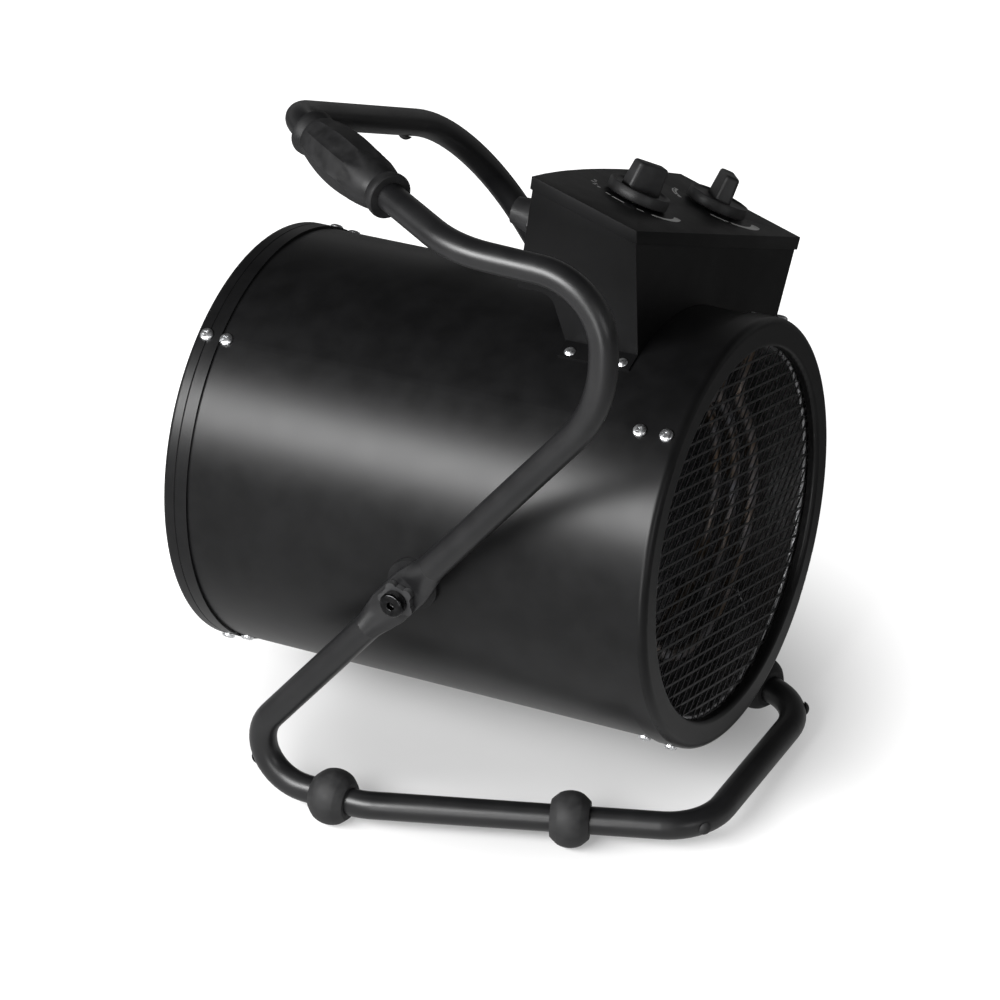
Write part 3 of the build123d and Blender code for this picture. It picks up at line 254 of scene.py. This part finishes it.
# This fade is the camera glow, weak near the heater: painted shade.
camera_glow_painted_shade = tree.nodes.new("ShaderNodeMapRange")
for fade, values in ((near, PAINTED_REFLECTION_GLOW_IN_GLOSS), (camera_glow_painted_shade, CAMERA_GLOW_WITH_PAINTED_SHADE)):
    fade.interpolation_type = "SMOOTHSTEP"
    for socket, value in zip(fade.inputs[1:5], values):
        socket.default_value = value
path = tree.nodes.new("ShaderNodeLightPath")
choose = tree.nodes.new("ShaderNodeMix")
gloss = tree.nodes.new("ShaderNodeMath")
gloss.operation = "MULTIPLY"
diffuse = tree.nodes.new("ShaderNodeBsdfDiffuse")
# The paper's colour, painted darker for glossy rays.
paper_tone_painted_by_ray = colour_mix(tree, PAPER_TONE, PAPER_PAINTED_DARKER_IN_GLOSS)
shine = tree.nodes.new("ShaderNodeEmission")
add = tree.nodes.new("ShaderNodeAddShader")
out = tree.nodes.new("ShaderNodeOutputMaterial")
link(tree, where.outputs["Object"], away.inputs[0], away.outputs["Value"], near.inputs[0])
link(tree, away.outputs["Value"], camera_glow_painted_shade.inputs[0], seen(tree), gloss.inputs[0])
link(tree, near.outputs[0], gloss.inputs[1], path.outputs["Is Camera Ray"], choose.inputs[0])
link(tree, gloss.outputs[0], choose.inputs[NUMBER_A])
link(tree, camera_glow_painted_shade.outputs[0], choose.inputs[NUMBER_B])
link(tree, choose.outputs[0], shine.inputs[1])
link(tree, path.outputs["Is Glossy Ray"], paper_tone_painted_by_ray.inputs[0])
link(tree, paper_tone_painted_by_ray.outputs[MIX_COLOUR], diffuse.inputs[0])
link(tree, diffuse.outputs[0], add.inputs[0], shine.outputs[0], add.inputs[1])
link(tree, add.outputs[0], out.inputs[0])
plane.materials.append(paper)
print("floor", len(plane.polygons), "face")

# %% [markdown]
# Every real finish changes a little over its surface: the tone drifts, the gloss drifts
# with it, and a fine grain breaks up the reflections. One recipe makes them all. It reads
# the piece's own coordinates, so a pattern never slides. What differs from finish to
# finish is how far the tone drifts, how large the grain is and how deep.
# %% Recipe for a finish
DRIFT_RANGE = (0.35, 0.65)     # the part of the noise over which a finish changes


def finish(name, dark, light, rough, patch, grain, depth,
           metal=0.0, specular=0.5, along=(1, 1, 1)):
    """A procedural surface: drifting tone and gloss over a fine grain.

    patch is the size of the drift, grain the size and depth the height of the grain, all
    in millimetres. along stretches both by axis.
    """
    material = bpy.data.materials.new(name)
    material.use_nodes = True
    tree = material.node_tree
    skin = tree.nodes["Principled BSDF"]
    skin.inputs["Metallic"].default_value = metal
    skin.inputs["Specular IOR Level"].default_value = specular
    where = tree.nodes.new("ShaderNodeTexCoord")
    stretch = tree.nodes.new("ShaderNodeMapping")
    stretch.inputs["Scale"].default_value = along
    drift = tree.nodes.new("ShaderNodeTexNoise")
    drift.inputs["Scale"].default_value = 1000 / patch
    drift.inputs["Detail"].default_value = 5
    tone = tree.nodes.new("ShaderNodeValToRGB")
    for point, position, colour in zip(tone.color_ramp.elements, DRIFT_RANGE, (dark, light)):
        point.position, point.color = position, (*colour, 1)
    gloss = tree.nodes.new("ShaderNodeMapRange")
    for socket, value in zip(gloss.inputs[1:5], (*DRIFT_RANGE, *rough)):
        socket.default_value = value
    fine = tree.nodes.new("ShaderNodeTexNoise")
    fine.inputs["Scale"].default_value = 1000 / grain
    fine.inputs["Detail"].default_value = 2
    bump = tree.nodes.new("ShaderNodeBump")
    bump.inputs["Strength"].default_value = 1.0
    bump.inputs["Distance"].default_value = depth * MM
    link(tree, where.outputs["Object"], stretch.inputs[0])
    link(tree, stretch.outputs[0], drift.inputs["Vector"], stretch.outputs[0], fine.inputs["Vector"])
    link(tree, drift.outputs["Fac"], tone.inputs[0], tone.outputs[0], skin.inputs["Base Color"])
    link(tree, drift.outputs["Fac"], gloss.inputs[0], gloss.outputs[0], skin.inputs["Roughness"])
    link(tree, fine.outputs["Fac"], bump.inputs["Height"], bump.outputs[0], skin.inputs["Normal"])
    return material


# %% [markdown]
# The sheet parts and the tube are powder coated in satin black. Powder coat flows into a
# faint orange peel about a millimetre across. It is nearly black, so almost all that is
# seen of it is gloss, and the grain must stay shallow.
# %% Painted steel
coat = finish("powder_coat", (0.0035, 0.0035, 0.0037), (0.0055, 0.0055, 0.0058),
              rough=(0.35, 0.37), patch=18, grain=1.0, depth=0.014, specular=0.28)
tube_coat = finish("tube_coat", (0.005, 0.005, 0.0055), (0.008, 0.008, 0.0085),
                   rough=(0.33, 0.39), patch=30, grain=0.9, depth=0.004, specular=0.55)
box_coat = finish("box_coat", (0.003, 0.003, 0.0032), (0.0045, 0.0045, 0.0048),
                  rough=(0.42, 0.5), patch=40, grain=1.0, depth=0.008, specular=0.18)
net_coat = finish("net_coat", (0.010, 0.010, 0.0105), (0.018, 0.018, 0.0185),
                  rough=(0.28, 0.36), patch=25, grain=0.8, depth=0.006, specular=0.6)
motor_paint = finish("motor_paint", (0.030, 0.032, 0.035), (0.045, 0.047, 0.05),
                     rough=(0.45, 0.6), patch=20, grain=0.7, depth=0.02)
boss_paint = finish("boss_coat", (0.008, 0.008, 0.0085), (0.014, 0.014, 0.0145),
                    rough=(0.35, 0.45), patch=12, grain=0.8, depth=0.01, specular=0.35)
print("painted finishes", coat.name, tube_coat.name, motor_paint.name, boss_paint.name)

# %% [markdown]
# Bare metal keeps the marks of how it was made: rolled sheet has streaks round the duct,
# the loops are dulled straw and blue by heat, zinc plate is cold and cloudy, and the pivot
# bolt is blackened. Each is the same recipe with metal turned up and its own grain.
# %% Bare metal
duct_sheet = finish("bright_sheet", (0.42, 0.42, 0.43), (0.6, 0.6, 0.61),
                    rough=(0.25, 0.42), patch=9, grain=1.5, depth=0.012, metal=1.0, along=(1, 14, 1))
loop_steel = finish("loop_steel", (0.16, 0.12, 0.09), (0.22, 0.22, 0.24),
                    rough=(0.4, 0.55), patch=14, grain=0.6, depth=0.01, metal=1.0)
zinc = finish("zinc_plate", (0.74, 0.75, 0.77), (0.9, 0.91, 0.92),
              rough=(0.24, 0.36), patch=2.5, grain=0.4, depth=0.01, metal=1.0)
black_bolt = finish("blackened_bolt", (0.022, 0.022, 0.023), (0.04, 0.04, 0.041),
                    rough=(0.2, 0.28), patch=3, grain=0.4, depth=0.003, metal=1.0)
fan_sheet = finish("fan_sheet", (0.5, 0.5, 0.51), (0.62, 0.62, 0.63),
                   rough=(0.3, 0.45), patch=12, grain=0.8, depth=0.01, metal=1.0)
print("metal finishes", duct_sheet.name, loop_steel.name, zinc.name, black_bolt.name,
      fan_sheet.name)

# %% [markdown]
# The grip, feet and plugs are soft rubber with a dusty bloom, the knobs hard plastic with
# a spark-eroded satin, and the cable gland nylon. Rubber is paler than the paint in the
# same light because it scatters more and shines less.
# %% Rubber and plastic
rubber = finish("rubber", (0.014, 0.014, 0.0145), (0.022, 0.022, 0.0225),
                rough=(0.55, 0.7), patch=8, grain=0.5, depth=0.02, specular=0.35)
grip_rubber = finish("grip_rubber", (0.0065, 0.0065, 0.0068), (0.011, 0.011, 0.0115),
                     rough=(0.46, 0.6), patch=10, grain=0.5, depth=0.02, specular=0.3)
knob_skin = finish("knob_plastic", (0.018, 0.018, 0.0185), (0.026, 0.026, 0.027),
                   rough=(0.38, 0.5), patch=9, grain=0.35, depth=0.012, specular=0.42)
nylon = finish("gland_nylon", (0.022, 0.022, 0.023), (0.032, 0.032, 0.033),
               rough=(0.4, 0.5), patch=10, grain=0.4, depth=0.01)
pale_resin = finish("pale_moulding", (0.5, 0.48, 0.44), (0.62, 0.6, 0.56),
                    rough=(0.45, 0.6), patch=9, grain=0.5, depth=0.01)
ink = finish("dial_ink", (0.8, 0.8, 0.79), (0.9, 0.9, 0.89),
             rough=(0.5, 0.65), patch=4, grain=0.3, depth=0.004)
print("soft finishes", rubber.name, knob_skin.name, nylon.name, pale_resin.name, ink.name)

# %% [markdown]
# The solids that stay in the picture take these finishes. Their names come from the
# record's own list of materials, so a solid that is added later is dressed too.
# %% Dress the solids
finish_of = {
    "black_coat": coat, "bright_steel": duct_sheet, "loop_steel": loop_steel,
    "zinc_steel": zinc, "dark_bolt": black_bolt, "boss_coat": boss_paint,
    "collar_nylon": nylon, "fan_alloy": fan_sheet, "motor_coat": motor_paint,
    "rubber": rubber, "knob_plastic": knob_skin, "gland_nylon": nylon,
    "pale_moulding": pale_resin,
}


def dress(node, material):
    """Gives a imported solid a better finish."""
    mesh = frame["nodes"][node].data
    if not mesh.materials:
        mesh.materials.append(material)
    for k in range(len(mesh.materials)):
        mesh.materials[k] = material


for part in frame["record"]["subparts"]:
    dress(part["node"], finish_of[part["material_slot"]])
dress("stand_tube", tube_coat)
dress("control_tray", box_coat)


# %% [markdown]
# From here on new pieces replace the plainest solids. Two helpers do the repeated work.
# One turns a line of points about an axis, as a lathe would. The other turns the faces
# outward, puts the piece in place and hangs it on the body that carries it.
# %% Helpers for new pieces
def turned(bm, profile, steps):
    """Spins a line of (radius, height) points in millimetres about Z into a skin."""
    verts = [bm.verts.new((r * MM, 0, z * MM)) for r, z in profile]
    edges = [bm.edges.new(pair) for pair in zip(verts, verts[1:])]
    before = set(bm.verts) - set(verts)
    bmesh.ops.spin(bm, geom=verts + edges, cent=(0, 0, 0), axis=(0, 0, 1), angle=2 * pi,
                   steps=steps, use_merge=True)
    new = [v for v in bm.verts if v not in before]
    bmesh.ops.remove_doubles(bm, verts=new, dist=1e-7)


def piece(name, bm, material, body, replaces=(), place=None, sharp=35):
    """Makes a bmesh into a finished piece that rides on a body."""
    if place is not None:
        bmesh.ops.transform(bm, matrix=place, verts=bm.verts)
    bmesh.ops.recalc_face_normals(bm, faces=bm.faces)
    mesh = bpy.data.meshes.new(name)
    bm.to_mesh(mesh)
    bm.free()
    mesh.materials.append(material)
    mesh.shade_smooth()
    mesh.set_sharp_from_angle(angle=radians(sharp))
    thing = bpy.data.objects.new(name, mesh)
    scene.collection.objects.link(thing)
    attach(thing, body)
    if replaces:
        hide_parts(*replaces)
    print(name, len(mesh.polygons), "faces")


# %% [markdown]
# The outlet net is expanded metal: one sheet, slit and stretched, so its strands cross in
# two slanting rows and each strand is twisted a little out of the plane. A slanted grid is
# inset cell by cell, the middles are taken out, and the corners of each gap are pushed
# forward at the top and back at the bottom before the sheet gets its thickness.
# %% Outlet net
STRAND = 1.15
FLAT_STEP, STEEP_STEP = 10.25, 11.23
FLAT_WAY, STEEP_WAY = -15, 40
NET_RADIUS, NET_SHEET, NET_TWIST, TWIST_REACH = 126.5, 0.75, 0.3, 3.0
NET_CELLS = 38                # cells each way, before the sheet is cut round
NET_LIFT = 0.175              # back of the sheet in front of the middle of its solid
bm = bmesh.new()
bmesh.ops.create_grid(bm, x_segments=NET_CELLS, y_segments=NET_CELLS, size=NET_CELLS / 2)
a, b = radians(FLAT_WAY), radians(STEEP_WAY)
slant = Matrix.Identity(4)
slant[0][0], slant[1][0] = FLAT_STEP * MM * cos(a), FLAT_STEP * MM * sin(a)
slant[0][1], slant[1][1] = STEEP_STEP * MM * cos(b), STEEP_STEP * MM * sin(b)
bmesh.ops.transform(bm, matrix=slant, verts=bm.verts)
outside = [f for f in bm.faces if max(v.co.length for v in f.verts) > NET_RADIUS * MM]
bmesh.ops.delete(bm, geom=outside, context="FACES")
gaps = bm.faces[:]
bmesh.ops.inset_individual(bm, faces=gaps, thickness=STRAND / 2 * MM, use_even_offset=True)
for gap in gaps:
    middle = gap.calc_center_median()
    for v in gap.verts:
        share = (v.co.y - middle.y) / (TWIST_REACH * MM)
        v.co.z += NET_TWIST * MM * max(-1.0, min(1.0, share))
bmesh.ops.delete(bm, geom=gaps, context="FACES_ONLY")
bmesh.ops.recalc_face_normals(bm, faces=bm.faces)
bmesh.ops.solidify(bm, geom=bm.faces[:], thickness=NET_SHEET * MM)
low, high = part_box("front_mesh")
upright = drum.to_3x3().to_4x4() @ Matrix.Rotation(pi / 2, 4, "X")
net_place = Matrix.Translation((low + high) / 2) @ upright
bmesh.ops.translate(bm, verts=bm.verts, vec=(0, 0, NET_LIFT * MM))
piece("outlet_net", bm, net_coat, "drum", ["front_mesh"], net_place)
print("gaps in the net", len(gaps))

# %% [markdown]
# The screws are zinc plated pan heads with a cross recess. The head is a disc whose top is
# inset in steps and lifted to a low dome. In the middle, the smallest disc and every fourth
# face of the ring round it are pushed down together, which leaves the cross.
# %% Screws
DOME_STEPS = ((0.45, 0.1), (0.3, 0.5), (0.17, 0.8), (0.08, 0.7))   # share of height, inset
RECESS_RINGS, RECESS_DEPTH = (0.3, 0.95), 1.1
SHANK_TIP, SHANK_ROOT = 1.6, 1.9


def way_round(face):
    middle = face.calc_center_median()
    return atan2(middle.y, middle.x)


def add_screw(bm, place, radius=4.4, height=2.4, length=4.6, turn=0.0):
    """Adds one cross recess screw with its head over local Z = 0."""
    before = set(bm.verts)
    made = bmesh.ops.create_circle(bm, cap_ends=True, segments=16, radius=radius * MM)
    top = made["verts"][0].link_faces[0]
    for rise, shrink in DOME_STEPS:
        lifted = bmesh.ops.extrude_face_region(bm, geom=[top])
        top = [f for f in lifted["geom"] if isinstance(f, bmesh.types.BMFace)][0]
        verts = top.verts[:]
        size = verts[0].co.xy.length
        bmesh.ops.translate(bm, verts=verts, vec=(0, 0, rise * height * MM))
        bmesh.ops.scale(bm, verts=verts, vec=(1 - shrink * MM / size, 1 - shrink * MM / size, 1))
    for width in RECESS_RINGS:
        ring = bmesh.ops.inset_region(bm, faces=[top], thickness=width * MM)["faces"]
    ring.sort(key=way_round)
    recess = bmesh.ops.extrude_face_region(bm, geom=[top] + ring[::4])
    sunk = [v for v in recess["geom"] if isinstance(v, bmesh.types.BMVert)]
    bmesh.ops.translate(bm, verts=sunk, vec=(0, 0, -RECESS_DEPTH * MM))
    bmesh.ops.delete(bm, geom=[top] + ring[::4], context="FACES_ONLY")
    shank = bmesh.ops.create_cone(bm, cap_ends=True, segments=12, radius1=SHANK_TIP * MM,
                                  radius2=SHANK_ROOT * MM, depth=length * MM)["verts"]
    bmesh.ops.translate(bm, verts=shank, vec=(0, 0, -length / 2 * MM))
    new = [v for v in bm.verts if v not in before]
    bmesh.ops.transform(bm, matrix=place @ Matrix.Rotation(radians(turn), 4, "Z"), verts=new)


FRONT, REAR, BAND = -158.6 * MM, 180.6 * MM, CASING_RADIUS + 1.7 * MM
SCREW_ANGLES = (37, -37, 143, 217)
TURN_START, TURN_STEP = 11, 23        # so that no two recesses line up
HEAD_CLEAR = 0.1 * MM                 # between the head's underside and the sheet
rows = {
    "front_band_screws": (FRONT + 9.9 * MM, BAND),
    "front_casing_screws": (FRONT + 28.2 * MM, CASING_RADIUS),
    "rear_band_screws": (REAR - 7.7 * MM, BAND),
    "rear_casing_screws": (REAR - 21.3 * MM, CASING_RADIUS),
}
for row, (y, radius) in rows.items():
    bm = bmesh.new()
    for k, angle in enumerate(SCREW_ANGLES):
        place = on_drum(angle, y, radius + HEAD_CLEAR)
        add_screw(bm, place, turn=TURN_STEP * k + TURN_START)
    piece(row + "_heads", bm, zinc, "drum", [row])

# %% [markdown]
# Each knob has a dished skirt with a raised rim, and a tall tapering bar for the fingers.
# The bar's upright corners are tight, and the light draws them as fine bright lines. The
# skirt is turned. The bar is a block with its edges bevelled, the upright ones first.
# %% Knobs
def bar(bm, size, taper, corner, edge, base):
    """A tapering block with rounded corners, its foot at height base."""
    made = bmesh.ops.create_cube(bm, size=MM)["verts"]
    bmesh.ops.scale(bm, verts=made, vec=size)
    bmesh.ops.translate(bm, verts=made, vec=(0, 0, (base + size[2] / 2) * MM))
    top = [v for v in made if v.co.z > (base + 1) * MM]
    bmesh.ops.scale(bm, verts=top, vec=(*taper, 1))
    upright = {e for v in made for e in v.link_edges
               if abs(e.verts[0].co.z - e.verts[1].co.z) > MM}
    bmesh.ops.bevel(bm, geom=list(upright), offset=corner * MM, segments=5, profile=0.5,
                    affect="EDGES", material=-1)
    height = (base + size[2]) * MM
    rim = [e for e in bm.edges if min(v.co.z for v in e.verts) > height - 1e-6
           and len({f.normal.z > 0.9 for f in e.link_faces}) == 2]
    bmesh.ops.bevel(bm, geom=rim, offset=edge * MM, segments=3, profile=0.5, affect="EDGES",
                    material=-1)


SKIRT = [(0, 1.2), (19.6, 1.2), (20.4, 1.7), (20.5, 2.2), (20.5, 7.9), (20.1, 8.5), (19.4, 8.7),
         (18.7, 8.5), (18.1, 7.8), (16.0, 7.2), (12.0, 7.0), (0, 7.0)]
BAR, BAR_TAPER = (25.5, 11.5, 18.2), (0.89, 0.86)
BAR_CORNER, BAR_EDGE, BAR_BASE = 2.4, 1.8, 6.9
BAR_TURN = {"thermostat": 149, "selector": 216}
for control, turn in BAR_TURN.items():
    bm = bmesh.new()
    turned(bm, SKIRT, 64)
    bmesh.ops.recalc_face_normals(bm, faces=bm.faces)
    bar(bm, BAR, BAR_TAPER, BAR_CORNER, BAR_EDGE, BAR_BASE)
    place = on_lid(joint[control + "_turn"]["pos_m"], turn)
    piece(control + "_dial", bm, knob_skin, control + "_control",
          [control + "_knob"], place)

# %% [markdown]
# A scale is printed round each knob: a pale band that widens towards hot, broken into
# steps, and a few dots. It is a film of ink, so it is spun flat and given the thickness of
# paint, just clear of the lid.
# %% Printed scales
INK_FILM, INK_CLEAR = 0.04, 0.06


def band(bm, inner, outer, start, end, grow=0.0):
    """A flat arc from start to end degrees, its outer edge moving out by grow."""
    a = radians(start)
    ends = [bm.verts.new((r * MM * cos(a), r * MM * sin(a), 0)) for r in (inner, outer)]
    edge = bm.edges.new(ends)
    steps = max(2, int(abs(end - start) / 5))
    before = set(bm.verts) - set(ends)
    bmesh.ops.spin(bm, geom=ends + [edge], cent=(0, 0, 0), axis=(0, 0, 1),
                   angle=radians(end - start), steps=steps)
    for v in bm.verts:
        if v not in before and v.co.length > (inner + outer) / 2 * MM:
            share = (degrees(atan2(v.co.y, v.co.x)) % 360 - start) / (end - start)
            v.co *= 1 + grow * share / outer


def dot(bm, radius, angle, size):
    made = bmesh.ops.create_circle(bm, cap_ends=True, segments=10, radius=size * MM)["verts"]
    a = radians(angle)
    bmesh.ops.translate(bm, verts=made, vec=(radius * MM * cos(a), radius * MM * sin(a), 0))


scales = {
    "thermostat": [(26.7, 28.9, 160, 168), (26.7, 29.1, 172, 190), (26.7, 28.7, 208, 218),
                   (26.4, 28.6, 230, 298, 2.6)],
    "selector": [(26.9, 28.3, 98, 146), (29.4, 30.3, 104, 140), (26.7, 28.7, 200, 226),
                 (26.4, 28.6, 231, 300, 4.0)],
}
dots = {
    "thermostat": [(28.2, 104, 1.3), (27.4, 113, 1.0), (29.4, 120, 1.2), (27.5, 127, 1.1),
                   (29.6, 134, 1.0), (27.6, 141, 1.3), (28.8, 297, 2.2)],
    "selector": [(28.6, 98, 1.6), (28.8, 110, 1.0), (28.7, 122, 1.1), (28.8, 134, 1.0),
                 (28.6, 145, 1.6), (29.4, 299, 2.9)],
}
for control, bands in scales.items():
    bm = bmesh.new()
    for values in bands:
        band(bm, *values)
    for values in dots[control]:
        dot(bm, *values)
    bmesh.ops.recalc_face_normals(bm, faces=bm.faces)
    bmesh.ops.solidify(bm, geom=bm.faces[:], thickness=INK_FILM * MM)
    lifted = Matrix.Translation((0, 0, INK_CLEAR * MM))
    place = on_lid(joint[control + "_turn"]["pos_m"]) @ lifted
    piece(control + "_scale", bm, ink, "drum", place=place)

# %% [markdown]
# The grip is a rubber barrel with a flared collar at each end. Long shallow flutes run
# along its belly and end in an arch towards the front, so the palm rests on a plain
# swelling. The barrel is turned, and then the points in each flute are drawn in. It sits
# on the tube between two bends, whose places are given from the pivot.
# %% Grip
turn_point = pivot + Vector((-155 * MM, -38.9 * MM, 249.3 * MM))
corner_point = pivot + Vector((-65.5 * MM, 122.6 * MM, 263.2 * MM))
along = (corner_point - turn_point).normalized()
side = Vector((0, 0, 1)).cross(along).normalized()
axes = Matrix((side, along.cross(side), along)).transposed().to_4x4()
GRIP_START, GRIP_LENGTH, FLUTES, FLUTE_DEPTH = 69.0, 90.0, 9, 1.1
NECK, BELLY, COLLAR, BORE = 13.1, 18.1, 14.6, 9.1
COLLAR_LENGTH, BELLY_STEPS, SWELL = 8, 36, 0.8
FLUTE_FOOT, FLUTE_END = 12, 10        # flutes keep this far from the two ends
ARCH_START, ARCH_RISE = 20, 12        # a flute's middle starts here, its sides this much later
FADE_IN, FADE_OUT = 5, 8              # lengths over which a flute comes and goes
grip_place = Matrix.Translation(turn_point + along * GRIP_START * MM) @ axes
belly = []
for k in range(BELLY_STEPS + 1):
    t = k / BELLY_STEPS
    belly.append((NECK + (BELLY - NECK) * sin(pi * t) ** SWELL,
                  COLLAR_LENGTH + t * (GRIP_LENGTH - 2 * COLLAR_LENGTH)))
lip = [(BORE, 0), (COLLAR - 0.8, 0), (COLLAR - 0.2, 0.4), (COLLAR, 1.3), (COLLAR - 0.2, 3.8),
       (COLLAR - 0.9, 6)]
profile = lip + belly + [(r, GRIP_LENGTH - z) for r, z in reversed(lip)] + lip[:1]
bm = bmesh.new()
turned(bm, profile, 72)
for v in bm.verts:
    z, r = v.co.z / MM, hypot(v.co.x, v.co.y) / MM
    if r < NECK - 0.5 or z < FLUTE_FOOT or z > GRIP_LENGTH - FLUTE_END:
        continue
    wave = abs(sin(FLUTES / 2 * atan2(v.co.y, v.co.x)))
    reach = ARCH_START + ARCH_RISE * (1 - wave)
    start = min(1.0, max(0.0, (z - reach) / FADE_IN))
    end = min(1.0, max(0.0, (GRIP_LENGTH - FLUTE_END - z) / FADE_OUT))
    fall = FLUTE_DEPTH * wave ** 0.5 * start * end
    v.co.xy *= 1 - fall / r
piece("grip_barrel", bm, grip_rubber, "stand", ["handle_grip"], grip_place, sharp=28)

# %% [markdown]
# Folded sheet never has a knife edge, and neither has a bolt. The lid of the control box
# and the two pivot bolts are copied from their solids, their triangles joined into whole
# faces, and every sharp edge gets a small round, which catches the light as a thin bright
# line.
# %% Rounded lid and pivot bolts
SHARP_EDGE = 50               # degrees between two faces


def rounded(node, name, material, width, segments):
    """Replaces a solid by a copy with its sharp edges rounded."""
    bm = bmesh.new()
    bm.from_mesh(frame["nodes"][node].data)
    bmesh.ops.remove_doubles(bm, verts=bm.verts, dist=1e-6)
    bmesh.ops.dissolve_limit(bm, angle_limit=radians(1.0), verts=bm.verts, edges=bm.edges)
    sharp = [e for e in bm.edges
             if len(e.link_faces) == 2 and e.calc_face_angle(0) > radians(SHARP_EDGE)]
    bmesh.ops.bevel(bm, geom=sharp, offset=width * MM, segments=segments, profile=0.5,
                    affect="EDGES", material=-1, clamp_overlap=True)
    bmesh.ops.triangulate(bm, faces=bm.faces)
    body = frame["nodes"][node]["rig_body"]
    piece(name, bm, material, body, [node], sharp=40)


rounded("control_lid", "lid_sheet", box_coat, width=0.55, segments=2)
for side in ("near", "far"):
    rounded("pivot_bolt_" + side, "pivot_head_" + side, black_bolt,
            width=0.7, segments=3)
